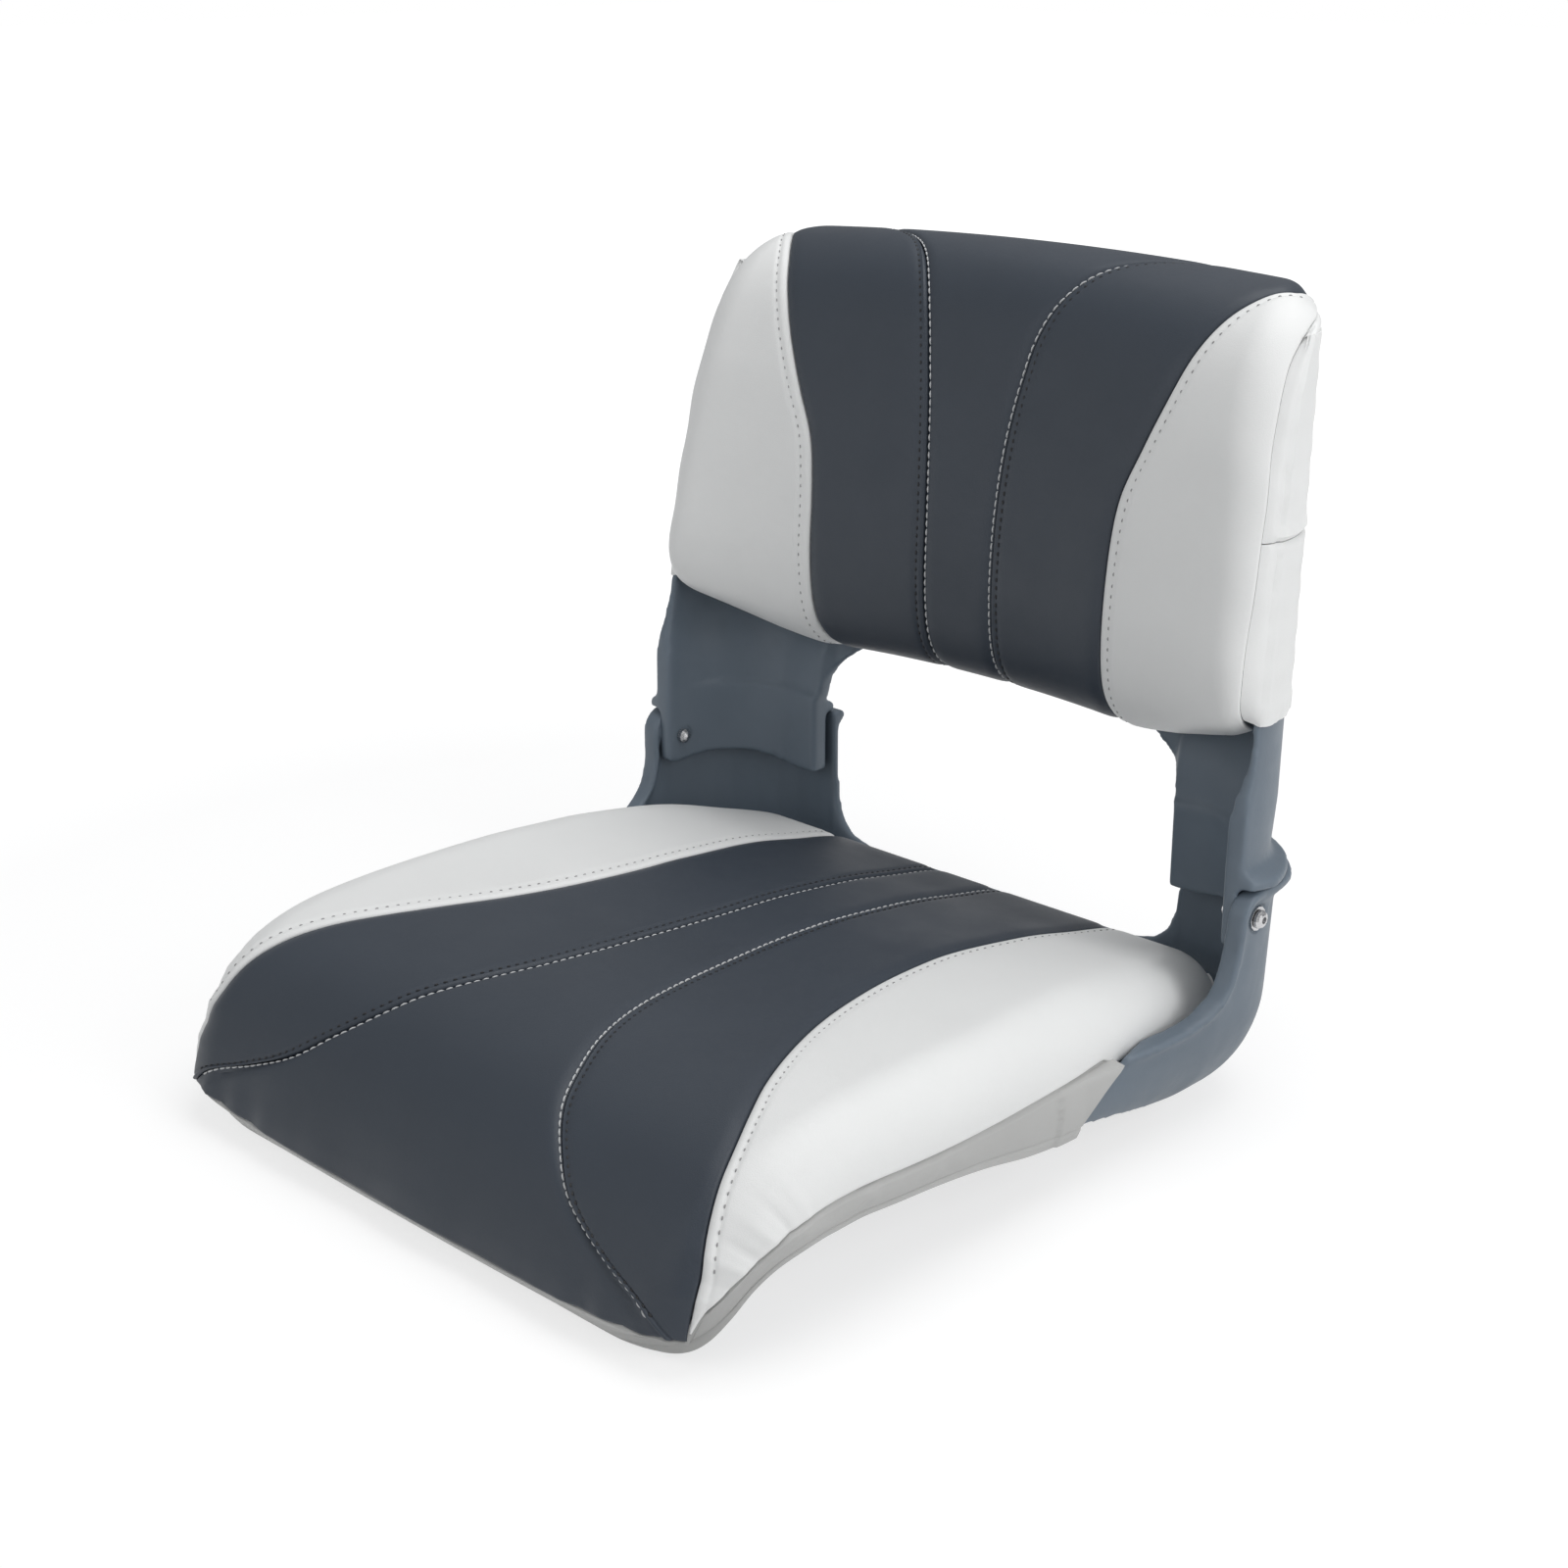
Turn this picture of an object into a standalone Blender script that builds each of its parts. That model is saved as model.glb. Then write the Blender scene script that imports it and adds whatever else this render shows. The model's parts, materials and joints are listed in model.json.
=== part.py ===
"""Fold-down boat seat.

A moulded seat pan carries two rear uprights. The backrest shell has an arm at each side
that stands inside its upright, turns on a pivot screw and rests on the upright's lip.
Both shells carry foam under a sewn vinyl cover of separate panels.

The origin is on the ground under the middle of the seat. +Y runs to the back, +Z up, and
+X is the sitter's left. Lengths are in metres.
"""

import math

import bmesh
import bpy
import numpy as np
from mathutils import Matrix

# Fits shared by every piece
CLEARANCE = 0.0004
OVERRUN = 0.004

# Seat pan
PAN_FRONT_Y = -0.2420
PAN_REAR_Y = 0.216
PAN_HALF_WIDTH = 0.2125
PAN_WIDENING = 0.0140
PAN_REAR_HALF_WIDTH = PAN_HALF_WIDTH + PAN_WIDENING
PAN_FRONT_RADIUS = 0.070
PIVOT_INSET = 0.067
PIVOT_LEAD = 0.008
PAN_REAR_RADIUS = PIVOT_INSET + PIVOT_LEAD
PAN_WALL = 0.0045
PAN_DECK_CREST_Z = 0.062
PAN_DECK_REAR_FALL = 0.016
PAN_DECK_FRONT_FALL = 0.024
PAN_DECK_CREST_REACH = 0.122
PAN_DECK_REAR_Z = PAN_DECK_CREST_Z - PAN_DECK_REAR_FALL
PAN_DECK_FRONT_Z = PAN_DECK_CREST_Z - PAN_DECK_FRONT_FALL
PAN_DECK_CREST_Y = PAN_FRONT_Y + PAN_DECK_CREST_REACH
PAN_UNDER_FRONT = 0.010
PAN_UNDER_REAR = 0.065

# Hinge
PIVOT_HEIGHT = 0.072
PIVOT_Y = PAN_REAR_Y - PIVOT_INSET
PIVOT_Z = PAN_DECK_REAR_Z + PIVOT_HEIGHT
STOP_RADIUS = 0.0175
LIP_GAP = 0.0004

# Uprights
UPRIGHT_WIDENING_REACH = 0.129
UPRIGHT_WIDENING_LENGTH = 0.100
PAN_WIDENING_START_Y = PIVOT_Y - UPRIGHT_WIDENING_REACH
PAN_WIDENING_END_Y = PAN_WIDENING_START_Y + UPRIGHT_WIDENING_LENGTH
UPRIGHT_SPREAD = 0.004
UPRIGHT_TOP_Z = PIVOT_Z + STOP_RADIUS
UPRIGHT_REAR_RUN = 0.015
UPRIGHT_END_X = PAN_REAR_HALF_WIDTH - PAN_REAR_RADIUS - UPRIGHT_REAR_RUN
RIM_REACH = 0.095
RIM_RISE = 0.0195
RIM_TIP_Y = PIVOT_Y - RIM_REACH
RIM_TIP_Z = PAN_DECK_REAR_Z + RIM_RISE
RIM_WIDTH = 0.0120
RIM_DEPTH = 0.0045
RIM_PROUD = 0.0022
LIP_PROUD = 0.0092
LIP_REAR_PROUD = 0.0062
LIP_DEPTH = 0.0066
LIP_CHAMFER = 0.0012
PIVOT_BOSS_RADIUS = 0.0105

# Ribs, bosses and inserts under the pan
INSERT_PITCH = 0.127
INSERT_OFFSET = 0.007
INSERT_CENTRE_Y = (PAN_FRONT_Y + PAN_REAR_Y) / 2 - INSERT_OFFSET
INSERT_RADIUS = 0.0060
INSERT_LENGTH = 0.016
INSERT_BORE_RADIUS = 0.0033
INSERT_FLANGE_RADIUS = 0.0085
INSERT_FLANGE = 0.0016
BOSS_RADIUS = 0.0120
PAD_SIDE = 0.044
PAD_HEIGHT = 0.005
RIB_WALL = 0.004
RIB_LIFT = 0.002
RIB_FRONT_SHARE = 0.75

# Seat cushion
SEAT_REAR_INSET = 0.026
SEAT_FRONT_OVERHANG = 0.0115
SEAT_SIDE_OVERHANG = 0.005
SEAT_HEIGHT = 0.035
SEAT_REAR_Y = PAN_REAR_Y - SEAT_REAR_INSET
SEAT_DEPTH = SEAT_REAR_Y - PAN_FRONT_Y + SEAT_FRONT_OVERHANG
SEAT_TOP_Z = PAN_DECK_CREST_Z + SEAT_HEIGHT
SEAT_HALF_WIDTH = PAN_HALF_WIDTH + SEAT_SIDE_OVERHANG
SEAT_EDGE_RADIUS = 0.034
SEAT_SIDE_RISE = 0.011

# Back shell: the tails of its arms stand inside the uprights
TAIL_PLAY = 0.004
TAIL_INSET = 0.0085
TAIL_DROP = 0.015
TAIL_RISE = 0.032
TAIL_HALF_WIDTH = PAN_REAR_HALF_WIDTH - TAIL_INSET
TAIL_REAR_Y = PAN_REAR_Y - PAN_WALL - TAIL_PLAY
TAIL_BOTTOM_Z = PIVOT_Z - TAIL_DROP
TAIL_TOP_Z = PIVOT_Z + TAIL_RISE
TAIL_ARCH = 0.012
ARM_STEP = 0.0075
ARM_REAR_STEP = 0.001
ARM_CORNER_INSET = 0.010
ARM_REACH = 0.012
ARM_END_STEP = 0.002
ARM_HALF_WIDTH = TAIL_HALF_WIDTH + ARM_STEP
ARM_REAR_Y = TAIL_REAR_Y + ARM_REAR_STEP
ARM_RADIUS = PAN_REAR_RADIUS - ARM_CORNER_INSET
TAIL_RADIUS = ARM_RADIUS - ARM_STEP
ARM_FRONT_Y = PIVOT_Y - ARM_REACH
ARM_END_X = UPRIGHT_END_X + ARM_END_STEP
ARM_LEAN = 0.142
ARM_TOP_NARROWING = 0.019
ARM_LEDGE = 0.0120
ARM_LEDGE_HEIGHT = 0.018
ARM_CLEAR_HEIGHT = 0.070
SHELL_WALL = 0.0045
SHELL_HEIGHT = 0.239
SHELL_TOP_DROP = 0.036
SHELL_BOTTOM_Z = PIVOT_Z + ARM_CLEAR_HEIGHT
SHELL_TOP_Z = SHELL_BOTTOM_Z + SHELL_HEIGHT
SHELL_TOP_Y = ARM_REAR_Y + ARM_LEAN * (SHELL_TOP_Z - UPRIGHT_TOP_Z - ARM_LEDGE)
FLANGE_WIDTH = 0.0115
FLANGE_DEPTH = 0.0050
FLANGE_RISE = 0.012
FLANGE_TOP_Z = SHELL_BOTTOM_Z + FLANGE_RISE
FLANGE_PROUD = 0.0006
FOOT_PROUD = 0.0125
FOOT_REAR_PROUD = 0.0085
FOOT_DEPTH = 0.0062
FOOT_FILLET = 0.0080

# Back cushion
BACK_LIFT = 0.005
BACK_TOP_OVERHANG = 0.018
BACK_SETBACK = 0.029
BACK_INSET = 0.0085
BACK_BOTTOM_Z = SHELL_BOTTOM_Z + BACK_LIFT
BACK_HEIGHT = SHELL_TOP_Z + BACK_TOP_OVERHANG - BACK_BOTTOM_Z
BACK_FRONT_Y = ARM_FRONT_Y + BACK_SETBACK
BACK_DEPTH = SHELL_TOP_Y - BACK_FRONT_Y - CLEARANCE / 2
BACK_HALF_WIDTH = ARM_HALF_WIDTH - BACK_INSET
BACK_EDGE_RADIUS = 0.030
BACK_EDGE_ROLL = math.radians(55)
BACK_SIDE_LEAD = 0.0330

# Width of the foam under the cover: at the seat's front and at the back's top
FOAM_FRONT_SHARE = 0.64
FOAM_TOP_SHARE = 0.72
FOAM_LOW_SHARE = 0.80

# Cover
VINYL = 0.0016
SEAM_GAP = 0.0005
FOAM_GAP = 0.0028
CHANNEL_DEPTH = 0.0016
CHANNEL_WIDTH = 0.0050
REAR_PANEL_INSET = 0.0135
REAR_PANEL_HALF_WIDTH = ARM_END_X - REAR_PANEL_INSET
BACK_CORNER_SHARE = 0.19
BOXING_HEM_RISE = 0.0355
BOXING_LOWER_HEIGHT = 0.0945
BOXING_BOTTOM_Z = SHELL_BOTTOM_Z + BOXING_HEM_RISE
BOXING_SEAM_Z = BOXING_BOTTOM_Z + BOXING_LOWER_HEIGHT
FLAP_WIDTH = 0.012
FLAP_INSET = 0.019
FLAP_LENGTH = 2 * (UPRIGHT_END_X - FLAP_INSET)

# Pivot hardware
SCREW_RADIUS = 0.0030
SCREW_HEAD_RADIUS = 0.0052
SCREW_HEAD_HEIGHT = 0.0034
SCREW_SOCKET_RADIUS = 0.0020
SCREW_SOCKET_DEPTH = 0.0018
WASHER_RADIUS = 0.0068
WASHER_THICKNESS = 0.0010
BUSH_WALL = 0.0014
BUSH_FLANGE_RADIUS = 0.0072
BUSH_FLANGE = 0.0008
NUT_RADIUS = 0.0048
NUT_HEIGHT = 0.0052

# Cover rivets
RIVET_HEAD_RADIUS = 0.0055
RIVET_HEAD_HEIGHT = 0.0018
RIVET_SHANK_RADIUS = 0.0024
RIVET_LENGTH = 0.0050

# Seat cushion from its rear edge over the top and down the front, one row for each point:
# depth share, height share, half-width share, edge radius share, side rise share
SEAT_SECTION_SHARES = (
    (0.0000, 0.535, 0.900, 1.28, 0.0),
    (0.0045, 0.640, 0.900, 1.28, 0.0),
    (0.0270, 0.711, 0.915, 1.24, 0.1),
    (0.1040, 0.784, 0.945, 1.10, 0.4),
    (0.1980, 0.866, 0.958, 1.00, 0.8),
    (0.3250, 0.938, 0.972, 1.00, 1.0),
    (0.4000, 0.960, 0.986, 1.00, 1.0),
    (0.5100, 0.979, 1.000, 1.00, 1.0),
    (0.6900, 1.000, 1.000, 1.00, 0.8),
    (0.8030, 0.979, 1.000, 1.00, 0.5),
    (0.8816, 0.887, 1.000, 1.10, 0.2),
    (0.9380, 0.711, 1.000, 1.25, 0.0),
    (0.9720, 0.505, 1.000, 1.40, 0.0),
    (0.9920, 0.299, 0.990, 1.45, 0.0),
    (1.0000, 0.155, 0.975, 1.45, 0.0),
)

# Back cushion from its top rear edge down the front and under, one row for each point:
# depth share back from the front, height share, half-width share, edge radius share, lead share
BACK_SECTION_SHARES = (
    (1.070, 0.976, 0.800, 0.80, -0.20),
    (0.860, 1.000, 0.848, 0.85, -0.20),
    (0.565, 0.980, 0.905, 0.95, -0.10),
    (0.348, 0.917, 0.930, 1.00, 0.15),
    (0.213, 0.825, 0.940, 1.00, 0.43),
    (0.122, 0.687, 0.958, 1.00, 0.65),
    (0.055, 0.548, 0.975, 0.90, 0.70),
    (0.012, 0.389, 0.984, 0.80, 0.81),
    (0.000, 0.230, 0.990, 0.65, 0.97),
    (0.043, 0.111, 0.985, 0.50, 0.95),
    (0.152, 0.040, 0.955, 0.45, 0.62),
    (0.323, 0.006, 0.870, 0.45, 0.35),
    (0.490, 0.004, 0.780, 0.45, 0.20),
)

# Seams across each cushion: length share along the section, half-width share
SEAT_BORDER_SHARES = (
    (0.00, 0.500), (0.21, 0.488), (0.32, 0.475), (0.41, 0.484), (0.49, 0.512),
    (0.56, 0.553), (0.63, 0.613), (0.70, 0.687), (0.75, 0.750), (0.79, 0.797),
    (0.83, 0.834), (0.87, 0.865), (0.93, 0.900), (1.00, 0.905),
)
SEAT_CENTRE_SHARES = (
    (0.00, 0.112), (0.22, 0.111), (0.34, 0.111), (0.43, 0.116), (0.52, 0.134),
    (0.60, 0.155), (0.67, 0.186), (0.73, 0.232), (0.78, 0.286), (0.83, 0.345),
    (0.87, 0.420), (0.91, 0.515), (0.94, 0.640), (0.97, 0.780), (1.00, 0.860),
)
SEAT_LOWER_SEAM_SHARES = (
    (0.00, 1.200), (0.70, 1.150), (0.77, 1.039), (0.84, 0.985), (0.90, 0.952), (0.95, 0.918),
    (1.00, 0.914),
)
WHITE_END_SHARE = 0.95
SEAT_CORNER_SHARE = 0.022
COVER_ROWS = 18
CENTRE_COLUMNS = 9
SIDE_COLUMNS = 4
WHITE_COLUMNS = 7
BACK_BORDER_SHARES = (
    (0.00, 0.800), (0.06, 0.830), (0.11, 0.830), (0.16, 0.785), (0.21, 0.735), (0.28, 0.680),
    (0.36, 0.630), (0.44, 0.580), (0.52, 0.530), (0.60, 0.512), (0.75, 0.506), (1.00, 0.500),
)
BACK_CENTRE_SHARES = (
    (0.00, 0.640), (0.05, 0.530), (0.10, 0.390), (0.15, 0.300), (0.21, 0.235), (0.28, 0.190),
    (0.36, 0.162), (0.45, 0.140), (0.55, 0.126), (0.66, 0.119), (0.80, 0.118), (1.00, 0.115),
)

# Side edge of the pan from the front corner back: depth share of the pan, height share of the
# side arch above the ground
ARCH_WALL = 0.009
ARCH_HEIGHT = PAN_DECK_CREST_Z - ARCH_WALL
PAN_ARCH_SHARES = (
    (0.000, 0.97), (0.060, 0.99), (0.115, 1.00), (0.156, 0.99), (0.232, 0.95), (0.326, 0.88),
    (0.416, 0.78), (0.507, 0.65), (0.609, 0.50), (0.694, 0.31), (0.764, 0.12), (0.812, 0.00),
)

# Lower edge of the pan round a front corner: share of the turn, share of the arch's height
PAN_CORNER_SHARES = (
    (0.00, 0.00), (0.15, 0.01), (0.28, 0.08), (0.40, 0.26), (0.50, 0.46), (0.60, 0.66), (0.72, 0.81),
    (0.85, 0.91),
)

# Front edge of an upright from the rim's tip to the pivot's height: shares of the way back
# from the tip to the stop face, and of the way up from the tip to the pivot
RIM_SHARES = (
    (0.00, 0.000), (0.26, 0.025), (0.52, 0.066), (0.71, 0.140), (0.85, 0.265),
    (0.930, 0.405), (0.966, 0.550), (0.996, 0.720), (1.000, 1.000),
)

# Inner edge of an upright: share of the way in to the middle, height share from the deck up
UPRIGHT_END_SHARES = (
    (0.000, 1.00), (0.010, 0.48), (0.022, 0.30), (0.055, 0.16), (0.115, 0.06), (0.200, 0.02), (0.280, 0.0),
)

# Hem of the seat's boxing from the front back: depth share of the pan, height share of the seat
BOXING_HEM_SHARES = (
    (-0.01, 0.015), (0.008, 0.025), (0.022, 0.060), (0.037, 0.130), (0.054, 0.250), (0.072, 0.380),
    (0.092, 0.470), (0.120, 0.530), (0.160, 0.560), (0.200, 0.560), (0.262, 0.535), (0.330, 0.505),
    (0.400, 0.460), (0.480, 0.385), (0.560, 0.325), (0.640, 0.290),
)
BOXING_END_Y = RIM_TIP_Y - OVERRUN
BOXING_END_LEAN = 0.030

# Front edge of the back shell, lowest first: height, place in Y
SHELL_FRONT_SHARES = (
    (0.000, 0.000), (0.170, 0.024), (0.205, 0.062), (0.445, 0.170), (0.680, 0.290), (0.880, 0.425),
    (1.000, 0.590),
)

# Inner edge of an arm: share of the way in to the middle, height share from the foot up
ARM_END_SHARES = ((0.00, 0.00), (0.012, 0.38), (0.030, 0.52), (0.080, 0.69), (0.155, 0.85), (0.250, 1.00))

# Colours: base colour, roughness, metallic
CHARCOAL = ((0.045, 0.052, 0.065), 0.48, 0.0)
WHITE = ((0.80, 0.81, 0.81), 0.42, 0.0)
GREY = ((0.36, 0.36, 0.37), 0.50, 0.0)
PLASTIC = ((0.125, 0.160, 0.200), 0.45, 0.0)
FOAM = ((0.72, 0.68, 0.50), 0.90, 0.0)
STEEL = ((0.60, 0.61, 0.62), 0.25, 1.0)
BRASS = ((0.62, 0.46, 0.18), 0.30, 1.0)
NYLON = ((0.72, 0.72, 0.70), 0.40, 0.0)


def clear_scene():
    for obj in list(bpy.data.objects):
        bpy.data.objects.remove(obj, do_unlink=True)


def material(name, look):
    colour, roughness, metallic = look
    made = bpy.data.materials.new(name)
    made.use_nodes = True
    shader = made.node_tree.nodes["Principled BSDF"]
    shader.inputs["Base Color"].default_value = (*colour, 1.0)
    shader.inputs["Roughness"].default_value = roughness
    shader.inputs["Metallic"].default_value = metallic
    return made


def add_object(name, verts, faces, look, smooth_angle=math.radians(35)):
    """A named object in world space, with its normals turned out."""
    mesh = bpy.data.meshes.new(name)
    mesh.from_pydata([tuple(map(float, v)) for v in verts], [], faces)
    built = bmesh.new()
    built.from_mesh(mesh)
    bmesh.ops.recalc_face_normals(built, faces=built.faces)
    if built.calc_volume(signed=True) < 0:
        bmesh.ops.reverse_faces(built, faces=built.faces)
    bmesh.ops.triangulate(built, faces=[f for f in built.faces if len(f.verts) > 4])
    built.to_mesh(mesh)
    built.free()
    mesh.shade_smooth()
    mesh.set_sharp_from_angle(angle=smooth_angle)
    obj = bpy.data.objects.new(name, mesh)
    bpy.context.scene.collection.objects.link(obj)
    if look is None:
        obj.hide_render = True
        obj.display_type = "WIRE"
    else:
        mesh.materials.append(material(name, look))
    return obj


def hold_on_pivot(pieces):
    """Parents the folding pieces to an empty on the hinge axis, where they stay in place."""
    pivot = bpy.data.objects.new("fold_axis", None)
    pivot.location = (0, PIVOT_Y, PIVOT_Z)
    bpy.context.scene.collection.objects.link(pivot)
    for piece in pieces:
        piece.parent = pivot
        piece.matrix_parent_inverse = Matrix.Translation((0, -PIVOT_Y, -PIVOT_Z))


def boolean(obj, tool, operation):
    modifier = obj.modifiers.new(tool.name, "BOOLEAN")
    modifier.operation = operation
    modifier.solver = "EXACT"
    modifier.object = tool


def two_sided(name, outer, inner, look, wrap=False):
    """A closed solid between two grids of points, rows by columns. wrap joins the last column
    to the first."""
    outer, inner = np.asarray(outer), np.asarray(inner)
    rows, cols = outer.shape[:2]
    verts = np.concatenate([outer.reshape(-1, 3), inner.reshape(-1, 3)])
    under = rows * cols
    faces = []
    steps = cols if wrap else cols - 1
    for i in range(rows - 1):
        for j in range(steps):
            k = (j + 1) % cols
            a, b, c, d = i * cols + j, i * cols + k, (i + 1) * cols + k, (i + 1) * cols + j
            faces += [(a, b, c, d), (under + d, under + c, under + b, under + a)]
    for j in range(steps):
        k = (j + 1) % cols
        last = (rows - 1) * cols
        faces += [(k, j, under + j, under + k), (last + j, last + k, under + last + k, under + last + j)]
    if not wrap:
        for i in range(rows - 1):
            a, b = i * cols, (i + 1) * cols
            faces += [(a, b, under + b, under + a)]
            a, b = a + cols - 1, b + cols - 1
            faces += [(b, a, under + a, under + b)]
    return add_object(name, verts, faces, look)


def swept(name, sections, look):
    """A bar through a list of closed sections, with its two ends filled."""
    sections = np.asarray(sections)
    count, corners = sections.shape[:2]
    faces = [tuple(range(corners)), tuple(reversed(range((count - 1) * corners, count * corners)))]
    for i in range(count - 1):
        for j in range(corners):
            k = (j + 1) % corners
            faces.append((i * corners + j, (i + 1) * corners + j, (i + 1) * corners + k, i * corners + k))
    return add_object(name, sections.reshape(-1, 3), faces, look)


def turned(name, profile, centre, axis, look, segments=20):
    """A closed solid turned about an axis. profile holds (along, radius), and a radius of zero
    is a pole."""
    axis = np.asarray(axis, float)
    side = np.cross(axis, (0.0, 0.0, 1.0) if abs(axis[2]) < 0.5 else (0.0, 1.0, 0.0))
    side /= np.linalg.norm(side)
    other = np.cross(axis, side)
    verts, rings = [], []
    for along, radius in profile:
        middle = np.asarray(centre) + axis * along
        if radius == 0:
            rings.append([len(verts)])
            verts.append(middle)
            continue
        rings.append(list(range(len(verts), len(verts) + segments)))
        for step in range(segments):
            turn = 2 * math.pi * step / segments
            verts.append(middle + radius * (math.cos(turn) * side + math.sin(turn) * other))
    closed = profile[0][1] > 0
    pairs = list(zip(rings, rings[1:])) + ([(rings[-1], rings[0])] if closed else [])
    faces = []
    for low, high in pairs:
        for j in range(segments):
            k = (j + 1) % segments
            corners = [low[j % len(low)], low[k % len(low)], high[k % len(high)], high[j % len(high)]]
            faces.append(tuple(dict.fromkeys(corners)))
    return add_object(name, verts, faces, look)


def block(name, low, high, look=None):
    """A box between two corners."""
    grid = [[(x, y, high[2]) for x in (low[0], high[0])] for y in (low[1], high[1])]
    base = [[(x, y, low[2]) for x in (low[0], high[0])] for y in (low[1], high[1])]
    return two_sided(name, grid, base, look)


def read(table, share, column=1):
    """The value of a table of shares at one share, straight between its points."""
    return float(np.interp(share, [row[0] for row in table], [row[column] for row in table]))


def smooth_table(table, column, shares):
    """The values of a table's column at these shares, on a curve through its points that never
    overshoots them."""
    xs = np.array([row[0] for row in table], float)
    ys = np.array([row[column] for row in table], float)
    slopes = np.diff(ys) / np.diff(xs)
    tangents = np.concatenate([[slopes[0]], (slopes[1:] + slopes[:-1]) / 2, [slopes[-1]]])
    flat = np.concatenate([[False], slopes[1:] * slopes[:-1] <= 0, [False]])
    tangents[flat] = 0
    for i, slope in enumerate(slopes):
        limit = 3 * abs(slope)
        tangents[i] = np.clip(tangents[i], -limit, limit)
        tangents[i + 1] = np.clip(tangents[i + 1], -limit, limit)
    shares = np.clip(np.atleast_1d(shares), xs[0], xs[-1])
    at = np.clip(np.searchsorted(xs, shares) - 1, 0, len(xs) - 2)
    width = xs[at + 1] - xs[at]
    t = (shares - xs[at]) / width
    return (
        (1 + 2 * t) * (1 - t) ** 2 * ys[at]
        + t * (1 - t) ** 2 * width * tangents[at]
        + t * t * (3 - 2 * t) * ys[at + 1]
        + t * t * (t - 1) * width * tangents[at + 1]
    )


def curve_through(points, count):
    """Evenly spaced points along a smooth curve through these points, in any dimension. The
    first two columns are the ones that its length is measured in."""
    points = np.asarray(points, float)
    padded = np.vstack([2 * points[0] - points[1], points, 2 * points[-1] - points[-2]])
    dense = []
    for i in range(1, len(padded) - 2):
        before, start, end, after = padded[i - 1 : i + 3]
        for t in np.linspace(0, 1, 12, endpoint=False):
            dense.append(
                0.5
                * (
                    2 * start
                    + (end - before) * t
                    + (2 * before - 5 * start + 4 * end - after) * t * t
                    + (3 * start - before - 3 * end + after) * t**3
                )
            )
    dense.append(points[-1])
    dense = np.array(dense)
    length = np.concatenate([[0], np.cumsum(np.linalg.norm(np.diff(dense[:, :2], axis=0), axis=1))])
    at = np.linspace(0, length[-1], count)
    return np.column_stack([np.interp(at, length, dense[:, k]) for k in range(dense.shape[1])])


class Cushion:
    """The outer surface of a sewn cushion. A section in the Y-Z plane runs from the rear edge
    over the face to the far edge, and the sides roll off it with an edge radius."""

    SAMPLES = 121

    def __init__(self, section, borders, half_width, roll, corner_share=0.0):
        self.half_width = half_width
        self.roll = roll
        self.corner_share = corner_share
        self.table = curve_through(section, self.SAMPLES)
        run = np.gradient(self.table[:, :2], axis=0)
        run /= np.linalg.norm(run, axis=1)[:, None]
        self.normals = np.column_stack([run[:, 1], -run[:, 0]])
        self.borders = borders

    def row(self, v):
        """y, z, half width, edge radius, rise and the section's normal at a length share."""
        at = np.linspace(0, 1, self.SAMPLES)
        values = [np.interp(v, at, self.table[:, k]) for k in range(5)]
        normal = [np.interp(v, at, self.normals[:, k]) for k in range(2)]
        return values + normal

    def reach(self, v):
        """The length across the cushion from the middle to its side seam."""
        _, _, half, radius, _, _, _ = self.row(v)
        return half - radius * math.sin(self.roll) + radius * self.roll

    def seam(self, which, v):
        """The length across the cushion from the middle to one of its seams."""
        return float(smooth_table(self.borders[which], 1, v)[0]) * self.half_width

    def point(self, s, v):
        across = abs(s)
        v -= self.corner_share * min(1.0, across / self.half_width) ** 3 * v**10
        y, z, half, radius, rise, ny, nz = self.row(v)
        flat = half - radius * math.sin(self.roll)
        roll = max(0.0, across - flat) / radius
        x = across if across < flat else flat + radius * math.sin(roll)
        drop = radius * (1 - math.cos(roll)) if across > flat else 0.0
        height = rise * (x / half) ** 2 - drop
        for which in self.borders:
            if which in ("border", "centre"):
                away = (across - self.seam(which, v)) / CHANNEL_WIDTH
                height -= CHANNEL_DEPTH * math.exp(-away * away)
        return np.array([math.copysign(x, s), y + ny * height, z + nz * height])

    def layer(self, across, along, depth):
        """A grid of points at a depth under the surface. across(v) gives each row's lengths."""
        grid = []
        step = 1e-3
        for v in along:
            line = []
            for s in across(v):
                here = self.point(s, v)
                du = self.point(s + step * self.half_width, v) - self.point(s - step * self.half_width, v)
                low, high = max(0.0, v - step), min(1.0, v + step)
                dv = self.point(s, high) - self.point(s, low)
                normal = np.cross(dv, du)
                normal /= np.linalg.norm(normal)
                line.append(here - normal * depth)
            grid.append(line)
        return np.array(grid)


def seat_cushion():
    section = [
        (
            SEAT_REAR_Y - depth * SEAT_DEPTH,
            height * SEAT_TOP_Z,
            half * SEAT_HALF_WIDTH,
            radius * SEAT_EDGE_RADIUS,
            rise * SEAT_SIDE_RISE,
        )
        for depth, height, half, radius, rise in SEAT_SECTION_SHARES
    ]
    seams = {"border": SEAT_BORDER_SHARES, "centre": SEAT_CENTRE_SHARES, "lower": SEAT_LOWER_SEAM_SHARES}
    return Cushion(section, seams, SEAT_HALF_WIDTH, math.pi / 2, SEAT_CORNER_SHARE)


def back_cushion():
    section = [
        (
            BACK_FRONT_Y + depth * BACK_DEPTH,
            BACK_BOTTOM_Z + height * BACK_HEIGHT,
            half * BACK_HALF_WIDTH,
            radius * BACK_EDGE_RADIUS,
            lead * BACK_SIDE_LEAD,
        )
        for depth, height, half, radius, lead in BACK_SECTION_SHARES
    ]
    seams = {"border": BACK_BORDER_SHARES, "centre": BACK_CENTRE_SHARES}
    return Cushion(section, seams, BACK_HALF_WIDTH, BACK_EDGE_ROLL)


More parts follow.
